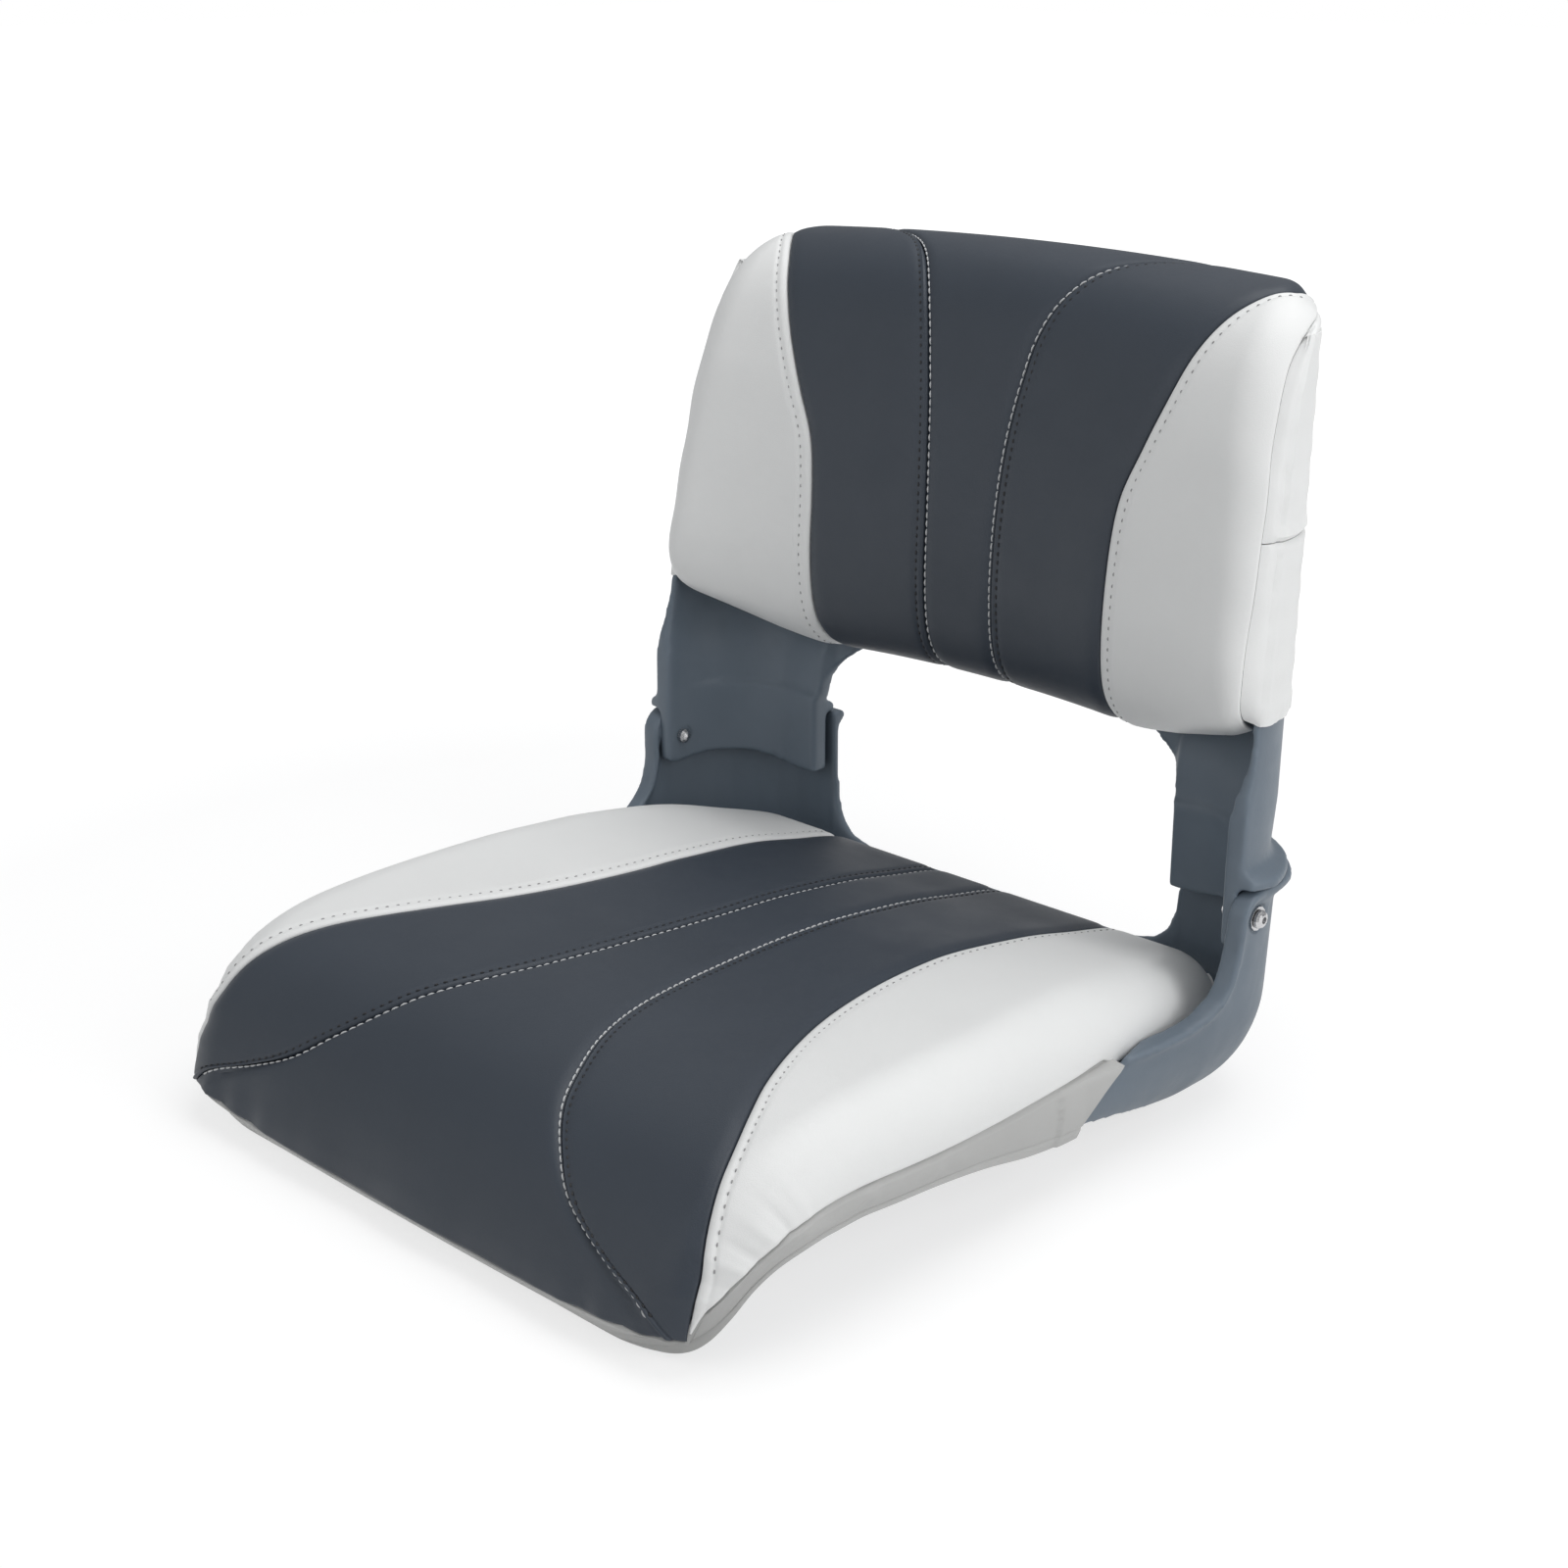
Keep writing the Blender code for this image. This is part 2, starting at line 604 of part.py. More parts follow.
def panel(cushion, name, side, near, far, along, columns, look):
    """One piece of the cover between two lines along the cushion, near(v) and far(v)."""
    def across(v):
        return side * np.linspace(near(v) + SEAM_GAP / 2, far(v) - SEAM_GAP / 2, columns)

    outer = cushion.layer(across, along, 0.0)
    inner = cushion.layer(across, along, VINYL)
    return two_sided(name, outer, inner, look)


def white_border(cushion, v, outer_edge):
    return min(cushion.seam("border", v), outer_edge(v))


def cover_face(cushion, prefix, along, white_along, outer_edge):
    """The charcoal centre, two charcoal sides and two white sides of a cushion's face."""
    def border(v):
        return white_border(cushion, v, outer_edge)

    def centre(v):
        return min(cushion.seam("centre", v), border(v) - CHANNEL_WIDTH)

    name = f"{prefix}_centre_panel"
    pieces = [panel(cushion, name, 1, lambda v: -centre(v), centre, along, CENTRE_COLUMNS, CHARCOAL)]
    for side, hand in ((1, "left"), (-1, "right")):
        name = f"{prefix}_charcoal_panel_{hand}"
        pieces.append(panel(cushion, name, side, centre, border, along, SIDE_COLUMNS, CHARCOAL))
        name = f"{prefix}_white_panel_{hand}"
        pieces.append(panel(cushion, name, side, border, outer_edge, white_along, WHITE_COLUMNS, WHITE))
    return pieces


def deck_z(y):
    """Height of the pan's deck, highest near the front and lowest at the back."""
    if y > PAN_DECK_CREST_Y:
        down = min(1.0, (y - PAN_DECK_CREST_Y) / (PAN_REAR_Y - PAN_DECK_CREST_Y))
        return PAN_DECK_CREST_Z + (PAN_DECK_REAR_Z - PAN_DECK_CREST_Z) * down**2
    down = min(1.0, (PAN_DECK_CREST_Y - y) / (PAN_DECK_CREST_Y - PAN_FRONT_Y))
    return PAN_DECK_CREST_Z + (PAN_DECK_FRONT_Z - PAN_DECK_CREST_Z) * down**2


def pan_half_width(y, z):
    """Half-width of the pan's side wall, which widens to the back and up each upright."""
    back = np.interp(y, (PAN_WIDENING_START_Y, PAN_WIDENING_END_Y), (0, 1))
    up = max(0.0, z - PAN_DECK_REAR_Z) / (UPRIGHT_TOP_Z - PAN_DECK_REAR_Z)
    return PAN_HALF_WIDTH + back * (PAN_REAR_HALF_WIDTH - PAN_HALF_WIDTH + up * UPRIGHT_SPREAD)


def rim_path():
    """Front edge of an upright in the Y-Z plane, from the tip of the rim over the stop."""
    stop_y = PIVOT_Y - STOP_RADIUS
    path = [
        (RIM_TIP_Y + back * (stop_y - RIM_TIP_Y), RIM_TIP_Z + up * (PIVOT_Z - RIM_TIP_Z))
        for back, up in RIM_SHARES
    ]
    for turn in np.linspace(0, math.pi / 2, 5)[1:]:
        path.append((PIVOT_Y - STOP_RADIUS * math.cos(turn), PIVOT_Z + STOP_RADIUS * math.sin(turn)))
    return path


def pan_stations():
    """Places round the right half of the pan's wall, from the middle of the front to the middle
    of the back: kind, value, top and bottom of the wall there."""
    tuck = RIM_DEPTH / 4
    depth = PAN_REAR_Y - PAN_FRONT_Y
    stations = []
    for share in (0.0, 0.4, 0.8):
        stations.append(("front", share, deck_z(PAN_FRONT_Y) - tuck, 0.0))
    for share, lift in PAN_CORNER_SHARES:
        y = pan_wall_point("front_arc", share, ARCH_HEIGHT)[0][1]
        stations.append(("front_arc", share, deck_z(y) - tuck, lift * ARCH_HEIGHT))
    start = PAN_FRONT_Y + PAN_FRONT_RADIUS
    for share, _ in PAN_ARCH_SHARES:
        y = start + share * (depth - PAN_FRONT_RADIUS)
        if y < RIM_TIP_Y - RIM_WIDTH:
            lift = read(PAN_ARCH_SHARES, share) * ARCH_HEIGHT
            stations.append(("side", y, deck_z(y) - tuck, lift))
    y = RIM_TIP_Y - OVERRUN / 4
    lift = read(PAN_ARCH_SHARES, (y - start) / (depth - PAN_FRONT_RADIUS)) * ARCH_HEIGHT
    stations.append(("side", y, deck_z(y) - tuck, lift))
    turn = 0.0
    for y, z in rim_path():
        share = (y + tuck - start) / (depth - PAN_FRONT_RADIUS)
        lift = read(PAN_ARCH_SHARES, share) * ARCH_HEIGHT
        past = (y + tuck - PAN_REAR_Y + PAN_REAR_RADIUS) / PAN_REAR_RADIUS
        if past < 0:
            stations.append(("side", y + tuck, z - tuck, lift))
        else:
            turn = math.asin(past)
            stations.append(("rear_arc", turn / (math.pi / 2), z - tuck, lift))
    for turn in np.linspace(turn, math.pi / 2, 8)[1:]:
        stations.append(("rear_arc", turn / (math.pi / 2), UPRIGHT_TOP_Z - tuck, 0.0))
    middle_z = PAN_DECK_REAR_Z + PAN_WALL
    for inward, up in UPRIGHT_END_SHARES:
        x = UPRIGHT_END_X * (1 - inward)
        stations.append(("rear", x, middle_z + up * (UPRIGHT_TOP_Z - tuck - middle_z), 0.0))
    for share in (0.35, 0.0):
        stations.append(("rear", UPRIGHT_END_X * share, middle_z, 0.0))
    return stations


def pan_wall_point(kind, value, z):
    """A point on the outside of the pan's wall, and the way out from it in plan."""
    if kind == "front":
        x, y, nx, ny = value * (PAN_HALF_WIDTH - PAN_FRONT_RADIUS), PAN_FRONT_Y, 0.0, -1.0
    elif kind == "front_arc":
        turn = value * math.pi / 2
        nx, ny = math.sin(turn), -math.cos(turn)
        x = PAN_HALF_WIDTH - PAN_FRONT_RADIUS + PAN_FRONT_RADIUS * nx
        y = PAN_FRONT_Y + PAN_FRONT_RADIUS + PAN_FRONT_RADIUS * ny
    elif kind == "side":
        x, y, nx, ny = pan_half_width(value, z), value, 1.0, 0.0
    elif kind == "rear_arc":
        turn = value * math.pi / 2
        nx, ny = math.cos(turn), math.sin(turn)
        x = pan_half_width(PAN_REAR_Y, z) - PAN_REAR_RADIUS + PAN_REAR_RADIUS * nx
        y = PAN_REAR_Y - PAN_REAR_RADIUS + PAN_REAR_RADIUS * ny
    else:
        x, y, nx, ny = value, PAN_REAR_Y, 0.0, 1.0
    back = (y - PAN_FRONT_Y) / (PAN_REAR_Y - PAN_FRONT_Y)
    under = PAN_UNDER_FRONT + (PAN_UNDER_REAR - PAN_UNDER_FRONT) * min(1.0, max(0.0, 1.6 * back - 0.2))
    inset = under - math.sqrt(under**2 - max(0.0, under - z) ** 2)
    return np.array([x - nx * inset, y - ny * inset, z]), np.array([nx, ny, 0.0])


def mirrored(point):
    return np.array([-point[0], point[1], point[2]])


def pan_wall():
    """The wall round the pan with both uprights, as one closed band."""
    rows = (0.0, 0.09, 0.22, 0.40, 0.66, 1.0)
    outer, inner = [], []
    stations = pan_stations()
    step = PAN_WALL / 20
    for share in rows:
        out_row, in_row = [], []
        for kind, value, top, bottom in stations:
            z = bottom + share * (top - bottom)
            here, out = pan_wall_point(kind, value, z)
            above, _ = pan_wall_point(kind, value, z + step)
            rise = (above - here) / np.linalg.norm(above - here)
            normal = out - rise * out.dot(rise)
            normal /= np.linalg.norm(normal)
            out_row.append(here)
            in_row.append(here - normal * PAN_WALL)
        outer.append(out_row + [mirrored(p) for p in reversed(out_row[1:-1])])
        inner.append(in_row + [mirrored(p) for p in reversed(in_row[1:-1])])
    return two_sided("seat_pan", outer, inner, PLASTIC, wrap=True)


def pan_deck():
    """The deck inside the wall, its edge half way into it."""
    ring = []
    for kind, value, _, _ in pan_stations():
        y = pan_wall_point(kind, value, PAN_DECK_FRONT_Z)[0][1]
        here, out = pan_wall_point(kind, value, deck_z(y) - PAN_WALL)
        ring.append(here - out * PAN_WALL / 2)
    spread = []
    for point in ring:
        if not spread or np.linalg.norm(point - spread[-1]) > PAN_WALL * 1.5:
            spread.append(point)
    ring = spread + [mirrored(p) for p in reversed(spread[1:-1])]
    centre = np.mean(ring, axis=0)
    verts, faces, count = [], [], len(ring)
    shares = (0.55, 1.0)
    for depth in (0.0, PAN_WALL):
        verts.append((centre[0], centre[1], deck_z(centre[1]) - depth))
        for share in shares:
            for point in ring:
                x, y = (centre + (point - centre) * share)[:2]
                verts.append((x, y, deck_z(y) - depth))
    layer = 1 + len(shares) * count
    for base in (0, layer):
        for j in range(count):
            k = (j + 1) % count
            faces.append((base, base + 1 + j, base + 1 + k))
            for ring_at in range(len(shares) - 1):
                a = base + 1 + ring_at * count
                faces.append((a + j, a + count + j, a + count + k, a + k))
    edge = 1 + (len(shares) - 1) * count
    for j in range(count):
        k = (j + 1) % count
        faces.append((edge + j, layer + edge + j, layer + edge + k, edge + k))
    return add_object("pan_deck", verts, faces, None)


def rim_bar(side):
    """The broad front edge of an upright, which runs forward beside the cushion."""
    path = rim_path()
    sections = []
    for i, (y, z) in enumerate(path):
        before, after = path[max(0, i - 1)], path[min(len(path) - 1, i + 1)]
        run = np.array([0.0, after[0] - before[0], after[1] - before[1]])
        run /= np.linalg.norm(run)
        inward = np.array([0.0, run[2], -run[1]])
        outside = pan_half_width(y, z)
        grown = min(1.0, i / 3)
        proud = RIM_PROUD * (0.4 + 0.6 * grown)
        width = RIM_WIDTH * (0.28 + 0.72 * grown)
        round_off = RIM_DEPTH / 4
        corners = (
            (proud - round_off, 0.0), (proud, round_off), (proud, RIM_DEPTH - round_off),
            (proud - round_off, RIM_DEPTH), (proud - width + round_off, RIM_DEPTH),
            (proud - width, RIM_DEPTH - round_off), (proud - width, round_off),
            (proud - width + round_off, 0.0),
        )
        sections.append([
            np.array([side * (outside + across), y, z]) + inward * down for across, down in corners
        ])
    return swept(f"rim_{side}", sections, None)


def collar(name, side, places, foot_z, corners):
    """A bar that follows a wall in plan. places hold x, y and the way out, with the bar's
    stand-off there. corners hold its section: stand-off share or length, and height."""
    sections = []
    for (x, y), (nx, ny), proud in places:
        section = []
        for share, inset, up in corners:
            out = share * proud - inset
            section.append((side * (x + nx * out), y + ny * out, foot_z + up))
        sections.append(section)
    return swept(name, sections, None)


def lip(side):
    """The lip round the top of an upright, on which the arm's foot rests."""
    places = []
    first = math.asin((PIVOT_Y - PAN_REAR_Y + PAN_REAR_RADIUS) / PAN_REAR_RADIUS)
    turns = np.linspace(max(0.0, first), math.pi / 2, 10)
    z = UPRIGHT_TOP_Z
    for turn in turns:
        here, out = pan_wall_point("rear_arc", turn / (math.pi / 2), z)
        back = (turn - turns[0]) / (turns[-1] - turns[0])
        full = LIP_PROUD + (LIP_REAR_PROUD - LIP_PROUD) * back
        proud = full * min(1.0, 0.25 + 3.0 * back)
        places.append((here[:2], out[:2], proud))
    here, out = pan_wall_point("rear", UPRIGHT_END_X, z)
    places.append((here[:2], out[:2], LIP_REAR_PROUD))
    depth = LIP_DEPTH
    corners = (
        (0, PAN_WALL * 0.7, 0.0), (1, LIP_CHAMFER, 0.0), (1, 0.0, -depth * 0.25),
        (1, LIP_CHAMFER * 0.4, -depth * 0.65), (0.75, 0.0, -depth * 0.95), (0.25, 0.0, -depth * 1.3),
        (0, LIP_CHAMFER / 2, -depth * 2.2), (0, PAN_WALL * 0.7, -depth * 2.2),
    )
    return collar(f"lip_{side}", side, places, z, corners)


def seat_pan():
    pan = pan_wall()
    tools = [pan_deck()]
    for side in (1, -1):
        tools += [rim_bar(side), lip(side)]
        wall_x = pan_half_width(PIVOT_Y, PIVOT_Z)
        inner_x = TAIL_HALF_WIDTH + BUSH_FLANGE + 2 * CLEARANCE
        outer_x = wall_x - PAN_WALL / 3
        wide = PIVOT_BOSS_RADIUS + OVERRUN / 2
        boss = ((inner_x, 0), (inner_x, PIVOT_BOSS_RADIUS), (outer_x, wide), (outer_x, 0))
        tools.append(turned(f"pivot_boss_{side}", boss, (0, PIVOT_Y, PIVOT_Z), (side, 0, 0), None, 16))
        x = side * INSERT_PITCH / 2
        rib_y = PAN_DECK_CREST_Y + RIB_FRONT_SHARE * (PAN_FRONT_Y - PAN_DECK_CREST_Y)
        low = (x - RIB_WALL / 2, rib_y, RIB_LIFT + CLEARANCE)
        high = (x + RIB_WALL / 2, PAN_REAR_Y - PAN_UNDER_REAR / 2, PAN_DECK_REAR_Z - PAN_WALL / 2)
        tools.append(block(f"long_rib_{side}", low, high))
        for end in (1, -1):
            y = INSERT_CENTRE_Y + end * INSERT_PITCH / 2
            low, top = PAD_HEIGHT / 2, deck_z(y) - PAN_WALL / 2
            boss = ((low, 0), (low, BOSS_RADIUS), (top, BOSS_RADIUS), (top, 0))
            tools.append(turned(f"boss_{side}_{end}", boss, (x, y, 0), (0, 0, 1), None, 14))
            half = PAD_SIDE / 2
            low, high = (x - half, y - half, 0.0), (x + half, y + half, PAD_HEIGHT)
            tools.append(block(f"pad_{side}_{end}", low, high))
    for end in (1, -1):
        y = INSERT_CENTRE_Y + end * INSERT_PITCH / 2
        low = (-INSERT_PITCH / 2, y - RIB_WALL / 2, RIB_LIFT)
        high = (INSERT_PITCH / 2, y + RIB_WALL / 2, deck_z(y) - PAN_WALL / 2)
        tools.append(block(f"cross_rib_{end}", low, high))
    for tool in tools:
        boolean(pan, tool, "UNION")
    for side in (1, -1):
        head_x = pan_half_width(PIVOT_Y, PIVOT_Z) - PAN_WALL / 3
        bore = SCREW_RADIUS + CLEARANCE
        spot = WASHER_RADIUS + 4 * CLEARANCE
        inner_x = TAIL_HALF_WIDTH - OVERRUN
        outer_x = head_x + LIP_PROUD + OVERRUN
        cut = (
            (inner_x, 0), (inner_x, bore), (head_x, bore), (head_x, spot), (outer_x, spot), (outer_x, 0),
        )
        cutter = turned(f"pivot_cut_{side}", cut, (0, PIVOT_Y, PIVOT_Z), (side, 0, 0), None, 16)
        boolean(pan, cutter, "DIFFERENCE")
        for end in (1, -1):
            place = (side * INSERT_PITCH / 2, INSERT_CENTRE_Y + end * INSERT_PITCH / 2, 0)
            bore = INSERT_RADIUS + CLEARANCE
            deep = INSERT_LENGTH + CLEARANCE
            wide = INSERT_FLANGE_RADIUS + CLEARANCE
            flange = INSERT_FLANGE + CLEARANCE
            cut = (
                (-OVERRUN, 0), (-OVERRUN, wide), (flange, wide), (flange, bore), (deep, bore), (deep, 0),
            )
            cutter = turned(f"insert_cut_{side}_{end}", cut, place, (0, 0, 1), None, 14)
            boolean(pan, cutter, "DIFFERENCE")
    return pan


def rivet_places(length, y, z):
    return [(length * share, y, z) for share in (-0.42, -0.14, 0.14, 0.42)]


def rivet_cuts(target, places, axis):
    """Holes for the rivets' shanks."""
    bore = RIVET_SHANK_RADIUS + CLEARANCE
    deep = RIVET_LENGTH + OVERRUN
    for i, place in enumerate(places):
        cut = ((-deep, 0), (-deep, bore), (OVERRUN, bore), (OVERRUN, 0))
        boolean(target, turned(f"{target.name}_rivet_cut_{i}", cut, place, axis, None, 10), "DIFFERENCE")


def rivets(prefix, places, axis):
    """Low domed rivets. Each place is on the cover's face, under the head."""
    made = []
    for i, place in enumerate(places):
        low, top = CLEARANCE, CLEARANCE + RIVET_HEAD_HEIGHT
        profile = (
            (-RIVET_LENGTH, 0), (-RIVET_LENGTH, RIVET_SHANK_RADIUS), (low, RIVET_SHANK_RADIUS),
            (low, RIVET_HEAD_RADIUS), (low + RIVET_HEAD_HEIGHT * 0.35, RIVET_HEAD_RADIUS * 0.95),
            (top - RIVET_HEAD_HEIGHT * 0.15, RIVET_HEAD_RADIUS * 0.55), (top, 0),
        )
        made.append(turned(f"{prefix}_rivet_{i + 1}", profile, place, axis, STEEL, 10))
    return made


def seat_edge(cushion, v):
    """The length across the seat cushion to the cover's edge: the lower seam, or the deck behind
    the boxing's end."""
    edge = min(cushion.reach(v), cushion.seam("lower", v))
    while edge > 0:
        _, y, z = cushion.point(edge, v)
        if y < BOXING_END_Y or z > deck_z(y) + 4 * CLEARANCE:
            return edge
        edge -= 2 * CLEARANCE
    return edge


def foam_face(cushion, along, outer_edge, narrowing):
    """The foam's upper face, on the cover's own rows, drawn in a little at both ends. It stops
    one column short of the cover's edge."""
    def across(v):
        border = white_border(cushion, v, outer_edge)
        edge = border + (outer_edge(v) - border) * (WHITE_COLUMNS - 2) / (WHITE_COLUMNS - 1)
        edge *= np.interp(v, *narrowing)
        border = min(border, edge * 0.85)
        centre = min(cushion.seam("centre", v), border * 0.6)
        half = [centre, (centre + border) / 2, border, (border + edge) / 2, edge]
        return [-s for s in reversed(half)] + [0.0] + half

    face = cushion.layer(across, along, VINYL + FOAM_GAP)
    draw_in = 0.35
    face[0] += (face[1] - face[0]) * draw_in
    face[-1] += (face[-2] - face[-1]) * draw_in
    return face


def seat_foam(cushion, along):
    """The seat's foam block, from the deck to just under the cover."""
    along = [v for v in along if cushion.row(v)[1] > deck_z(PAN_FRONT_Y) + 2 * OVERRUN]
    narrowing = ((0.55, 0.80), (1.0, FOAM_FRONT_SHARE))
    upper = foam_face(cushion, along, lambda v: seat_edge(cushion, v), narrowing)
    lower = upper.copy()
    start = SEAT_REAR_Y - 3 * (VINYL + FOAM_GAP)
    for i, j in np.ndindex(upper.shape[:2]):
        y = start + (PAN_FRONT_Y - start) * i / (len(along) - 1)
        lower[i, j] = (upper[i, j, 0] * 0.97, y, deck_z(y) + CLEARANCE)
    return two_sided("seat_foam", upper, lower, FOAM)


def hem_plan(x, y, off):
    """The nearest place to a point on the pan's side or front, with a stand-off, in plan, and the
    way out there."""
    side = pan_half_width(y, PAN_DECK_REAR_Z)
    inner_x, inner_y = side - PAN_FRONT_RADIUS, PAN_FRONT_Y + PAN_FRONT_RADIUS
    core = np.array([max(-inner_x, min(inner_x, x)), max(inner_y, y)])
    way = np.array([x, y]) - core
    way /= np.linalg.norm(way)
    return core + way * (PAN_FRONT_RADIUS + off), way


def seat_boxing(cushion):
    """The strip below the cushion's lower seam, round the front from one side to the other."""
    def edge(v):
        return min(cushion.reach(v), cushion.seam("lower", v) + SEAM_GAP)

    spread = np.linspace(0, 1, 401)
    edge_y = [cushion.point(edge(v), v)[1] for v in spread]
    corner_y = PAN_FRONT_Y + PAN_FRONT_RADIUS
    start, corner = (
        next(v for v, y in zip(spread, edge_y) if y < least) for least in (BOXING_END_Y, corner_y)
    )
    along = (*np.linspace(start, corner, 8), *np.linspace(corner, 1.0, 9)[1:])
    line = [(edge(v), v) for v in along]
    widest = line[-1][0]
    line += [(widest * share, 1.0) for share in (0.93, 0.84, 0.62, 0.37, 0.12)]
    line += [(-s, v) for s, v in reversed(line)]
    shares = (0.0, 0.12, 0.35, 0.65, 1.0)
    outer, under, ways = [[] for _ in shares], [], []
    for s, v in line:
        top, below = (cushion.layer(lambda _: [s], [v], depth)[0, 0] for depth in (0.0, VINYL))
        for point in (top, below):
            point[2] -= 5 * SEAM_GAP
        lean = BOXING_END_LEAN * max(0.0, (top[1] + BOXING_END_Y) / (2 * BOXING_END_Y)) ** 2
        aim = [top[0], top[1] - lean]
        if v > corner:
            turn = math.acos(min(1.0, (corner_y - top[1]) / (corner_y - edge_y[-1])))
            straight = PAN_HALF_WIDTH - PAN_FRONT_RADIUS
            across = math.copysign(straight, s) if v < 1.0 else straight * s / widest
            aim = [across + math.copysign(math.sin(turn), s), corner_y - math.cos(turn)]
        hem, way = hem_plan(*aim, 2 * CLEARANCE + VINYL)
        back = (hem[1] - PAN_FRONT_Y) / (PAN_REAR_Y - PAN_FRONT_Y)
        hem_z = read(BOXING_HEM_SHARES, back) * SEAT_TOP_Z
        for row, share in enumerate(shares):
            x, y = hem + (top[:2] - hem) * (1 - share) ** 2
            z = top[2] + (hem_z - top[2]) * share
            if share > 0 and y > 0 and z < deck_z(y) + 2 * OVERRUN:
                x = math.copysign(pan_half_width(y, z) + 5 * CLEARANCE + VINYL, x)
            outer[row].append((x, y, z) if share > 0 else top)
        under.append(below)
        ways.append((*way, 0.0))
    outer = np.array(outer)
    normals = np.cross(np.gradient(outer, axis=1), np.gradient(outer, axis=0))
    normals /= np.linalg.norm(normals, axis=2)[..., None]
    normals *= np.sign((normals * np.array(ways)).sum(axis=2))[..., None]
    inner = outer - normals * VINYL
    inner[0] = under
    return two_sided("seat_boxing", outer, inner, GREY)


def seat_rear_flap():
    """The cover's flap behind the cushion, flat on the deck, with the places of its rivets."""
    near, far = SEAT_REAR_Y + OVERRUN / 4, SEAT_REAR_Y + OVERRUN / 4 + FLAP_WIDTH
    half = FLAP_LENGTH / 2
    run = np.array([0.0, far - near, deck_z(far) - deck_z(near)])
    up = np.array([0.0, -run[2], run[1]]) / np.linalg.norm(run)
    base = np.array([[(x, y, deck_z(y)) for x in (-half, half)] for y in (near, far)])
    base += up * 2 * CLEARANCE
    flap = two_sided("seat_rear_flap", base + up * VINYL, base, CHARCOAL)
    middle = (base[0, 0] + base[1, 0]) / 2 + up * VINYL
    places = rivet_places(FLAP_LENGTH, middle[1], middle[2])
    rivet_cuts(flap, places, up)
    return rivets("seat", places, up), places, up


def shell_size(z):
    """Half-width, rear face and front edge of the back shell at a height."""
    up = max(0.0, z - SHELL_BOTTOM_Z + ARM_LEDGE) / (SHELL_TOP_Z - SHELL_BOTTOM_Z + ARM_LEDGE)
    half = ARM_HALF_WIDTH - ARM_TOP_NARROWING * up
    rear = ARM_REAR_Y + ARM_LEAN * (z - (UPRIGHT_TOP_Z + ARM_LEDGE))
    share = (z - UPRIGHT_TOP_Z) / (SHELL_TOP_Z - UPRIGHT_TOP_Z)
    depth = ARM_REAR_Y + ARM_LEAN * ARM_RADIUS * 4 - ARM_FRONT_Y
    front = ARM_FRONT_Y + read(SHELL_FRONT_SHARES, share) * depth
    return half, rear, front


def plan_point(kind, value, half, rear, radius, front):
    """A point on a shell's plan outline, with the way out from it. The bend runs from the front
    edge round the corner, and the rear is straight."""
    if kind == "rear":
        return np.array([value, rear]), np.array([0.0, 1.0])
    straight = max(0.0, rear - radius - front)
    first = math.asin(min(1.0, max(0.0, front - rear + radius) / radius))
    along = value * (straight + radius * (math.pi / 2 - first))
    if along < straight:
        return np.array([half, front + along]), np.array([1.0, 0.0])
    turn = first + (along - straight) / radius
    out = np.array([math.cos(turn), math.sin(turn)])
    return np.array([half - radius, rear - radius]) + radius * out, out


def bend_share(x, y, half, rear, radius, front):
    """Where a shell's bend is nearest to a place, as a share of the bend."""
    straight = max(0.0, rear - radius - front)
    first = math.asin(min(1.0, max(0.0, front - rear + radius) / radius))
    total = straight + radius * (math.pi / 2 - first)
    if y < rear - radius:
        return max(0.0, (y - front) / total)
    turn = math.atan2(y - rear + radius, max(CLEARANCE, x - half + radius))
    return min(1.0, max(0.0, (straight + (turn - first) * radius) / total))


def shell_top(share):
    """Height of the back shell's top edge, which falls away round the bend."""
    return SHELL_TOP_Z - SHELL_TOP_DROP * (1 - share) ** 1.5


SHELL_STATIONS = (
    [("bend", share) for share in (0.0, 0.14, 0.30, 0.44, 0.56, 0.67, 0.78, 0.89, 1.0)]
    + [("rear", ARM_END_X * (1 - row[0])) for row in ARM_END_SHARES]
    + [("rear", ARM_END_X * share) for share in (0.4, 0.0)]
)


def back_shell_strip():
    """Both arms and the panel between them, bent round from one front edge to the other."""
    foot_z = UPRIGHT_TOP_Z + LIP_GAP + 2 * CLEARANCE
    rise = (0.0, 0.05, 0.22, 0.42, 0.62, 0.82, 1.0)
    rows = 2 + len(rise)
    outer, inner = [[] for _ in range(rows)], [[] for _ in range(rows)]
    for kind, value in SHELL_STATIONS:
        inward = 1 - value / ARM_END_X if kind == "rear" else 0.0
        low = foot_z + read(ARM_END_SHARES, inward) * (SHELL_BOTTOM_Z - foot_z)
        ledge = ARM_LEDGE if inward < 0.02 else SHELL_WALL
        start = low + ARM_LEDGE_HEIGHT + CLEARANCE
        top = shell_top(value) if kind == "bend" else SHELL_TOP_Z
        heights = [(low, ledge), (low + ARM_LEDGE_HEIGHT, ledge)]
        heights += [(start + share * (top - start), SHELL_WALL) for share in rise]
        heights[2] = (start + 2 * CLEARANCE, SHELL_WALL)
        for i, (z, wall) in enumerate(heights):
            half, rear, front = shell_size(z)
            place, out = plan_point(kind, value, half, rear, ARM_RADIUS, front)
            outer[i].append((*place, z))
            inner[i].append((*(place - out * wall), z))
    for grid in (outer, inner):
        for row in grid:
            row += [mirrored(np.array(p)) for p in reversed(row[:-1])]
    return two_sided("back_shell", outer, inner, PLASTIC)


